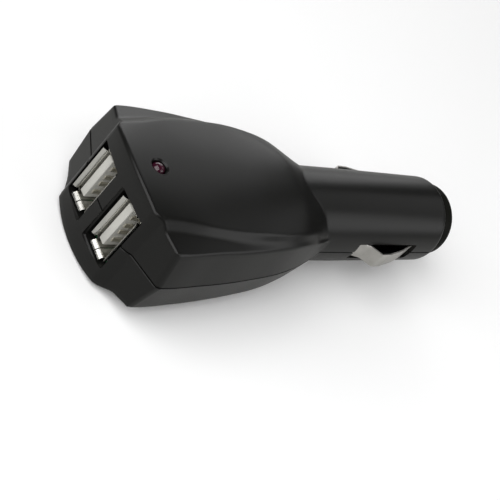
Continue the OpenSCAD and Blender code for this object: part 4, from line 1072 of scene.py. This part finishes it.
for side, word in ((-1, "near"), (1, "far")):
    shell = port_shell(side)
    shell.name = f"{word}_port_shell"
    dress(shell, shell_nickel, "plug", "shell_steel", f"{word}_usb_shell", angle=40)

# %% [markdown]
# The insulator is moulded in white glass filled nylon, which is slightly translucent and satin.
# Its tongue is rounded at the front, and shallow grooves hold the four contacts.

# %% Insulators
nylon_white = plastic("nylon_white_moulded", "#bcbbb5", 0.4, 0.35, 0.002, mottle=0.02)
TONGUE_INSET, TONGUE_H, TONGUE_T, BACK_LEN = 1.0, 11.1, 1.84, 3.8
TONGUE_FAR = PORT_W / 2 - SHEET_T - 0.5
TONGUE_NEAR = TONGUE_FAR - TONGUE_T
CONTACT_W, CONTACT_T, FIT_GAP = 1.0, 0.25, 0.05
CONTACT_PLACES = (-3.5, -1.0, 1.0, 3.5)
for side, word in ((-1, "near"), (1, "far")):
    y0 = side * PORT_Y
    back_x = MOUTH_X + PORT_DEPTH - BACK_LEN
    tongue = bevelled_box("tongue", (MOUTH_X + TONGUE_INSET, y0 + TONGUE_NEAR, -TONGUE_H / 2),
                          (back_x + 1, y0 + TONGUE_FAR, TONGUE_H / 2), 0.22)
    half_w, half_h = PORT_W / 2 - SHEET_T - FIT_GAP, PORT_H / 2 - SHEET_T - FIT_GAP
    block = bevelled_box(f"{word}_port_insulator", (back_x, y0 - half_w, -half_h), (back_x + BACK_LEN, y0 + half_w, half_h), 0.1, 2)
    carve(block, tongue, "UNION")
    for z in CONTACT_PLACES:
        groove = bevelled_box("groove", (back_x - 0.5, y0 + TONGUE_NEAR - CONTACT_T - FIT_GAP, z - CONTACT_W / 2 - FIT_GAP),
                              (back_x + BACK_LEN + 1, y0 + TONGUE_NEAR, z + CONTACT_W / 2 + FIT_GAP), 0.01, 1)
        carve(block, groove)
    dress(block, nylon_white, "plug", "insulator_white", f"{word}_usb_insulator")

# %% [markdown]
# The lamp's lens is cast in red tinted epoxy. Unlit it looks almost black red, with a bright glint
# where the dome mirrors the light.

# %% Lamp lens
lens_red = bpy.data.materials.new("epoxy_red_tinted")
lens_red.use_nodes = True
tree = lens_red.node_tree
shader = tree.nodes["Principled BSDF"]
place = node(tree, "ShaderNodeTexCoord")
haze = node(tree, "ShaderNodeTexNoise", links={"Vector": place.outputs["Object"]}, Scale=1 / (0.8 * MM), Detail=2.0)
tint = node(tree, "ShaderNodeMix", {"data_type": "RGBA"}, {"Factor": haze.outputs["Fac"]})
tint.inputs[6].default_value, tint.inputs[7].default_value = srgb("#320f1c"), srgb("#4a182e")
tree.links.new(tint.outputs[2], shader.inputs["Base Color"])
shader.inputs["Roughness"].default_value = 0.12
shader.inputs["IOR"].default_value = 1.52
shader.inputs["Transmission Weight"].default_value = 0.35
LENS_TOP, LENS_LEN = CROWN_Z + 2 * LENS_GAP, 5.2
base_z = LENS_TOP - LENS_LEN
FLANGE_OUT, FLANGE_UP = LENS_R + 3 * LENS_GAP, 8 * LENS_GAP
lens = turned("lamp_lens", [(base_z, 0), (base_z, FLANGE_OUT - 0.08), (base_z + 0.08, FLANGE_OUT),
                            (base_z + FLANGE_UP - 0.08, FLANGE_OUT), (base_z + FLANGE_UP, FLANGE_OUT - 0.08),
                            (base_z + FLANGE_UP, LENS_R)]
              + arc(LENS_TOP - LENS_R, 0, LENS_R, 90, 0, 16)[:-1] + [(LENS_TOP, 0)], 64, "z", (LENS_X, 0))
dress(lens, lens_red, "plug", "lens_red", "led_lens")

# %% [markdown]
# What stays hidden keeps its solid from the CAD model and gets its own finish.

# %% Hidden parts
FINISHES = {
    "contact_nickel": pin_nickel, "shell_steel": shell_nickel, "contact_gold": contact_gold,
    "wire_metal": metal("tinned_copper", "#c3bfb4", 0.3, 0.3, 0.001),
    "fuse_glass": plastic("fuse_glass_tube", "#c4d2d4", 0.1, 0.6, 0.0005),
    "board_green": plastic("solder_mask_green", "#1d5331", 0.3, 0.5, 0.003),
    "capacitor_sleeve": plastic("capacitor_sleeve_blue", "#232e49", 0.3, 0.6, 0.002),
    "ferrite": plastic("ferrite_sintered", "#44413f", 0.6, 0.2, 0.008),
    "winding_copper": metal("enamelled_copper", "#b4642c", 0.25, 0.3, 0.004, (1, 1, 1)),
    "chip_black": plastic("epoxy_black_moulded", "#1f1f21", 0.5, 0.15, 0.006),
    "ceramic_tan": plastic("ceramic_tan_fired", "#a3875a", 0.45, 0.2, 0.004),
    "wire_red": plastic("pvc_red_sleeve", "#8a1e1e", 0.35, 0.8, 0.003),
    "wire_black": plastic("pvc_black_sleeve", "#1a1a1b", 0.35, 0.8, 0.003),
    "spring_steel": spring_steel, "side_contact_steel": strip_nickel, "housing_plastic": abs_black,
    "ring_plastic": ring_black, "insulator_white": nylon_white, "lens_red": lens_red,
}
for part in nodes.values():
    for k, old in enumerate(part.data.materials):
        part.data.materials[k] = FINISHES[old.name.split(".")[0]]

# %% Sizes for the record
low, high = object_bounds()
{"cad": [list(cad_low), list(cad_high)], "visual": [list(low), list(high)]}
print("CAD box:", [round(v / MM, 2) for v in (*cad_low, *cad_high)])
print("visual box:", [round(v / MM, 2) for v in (*low, *high)])
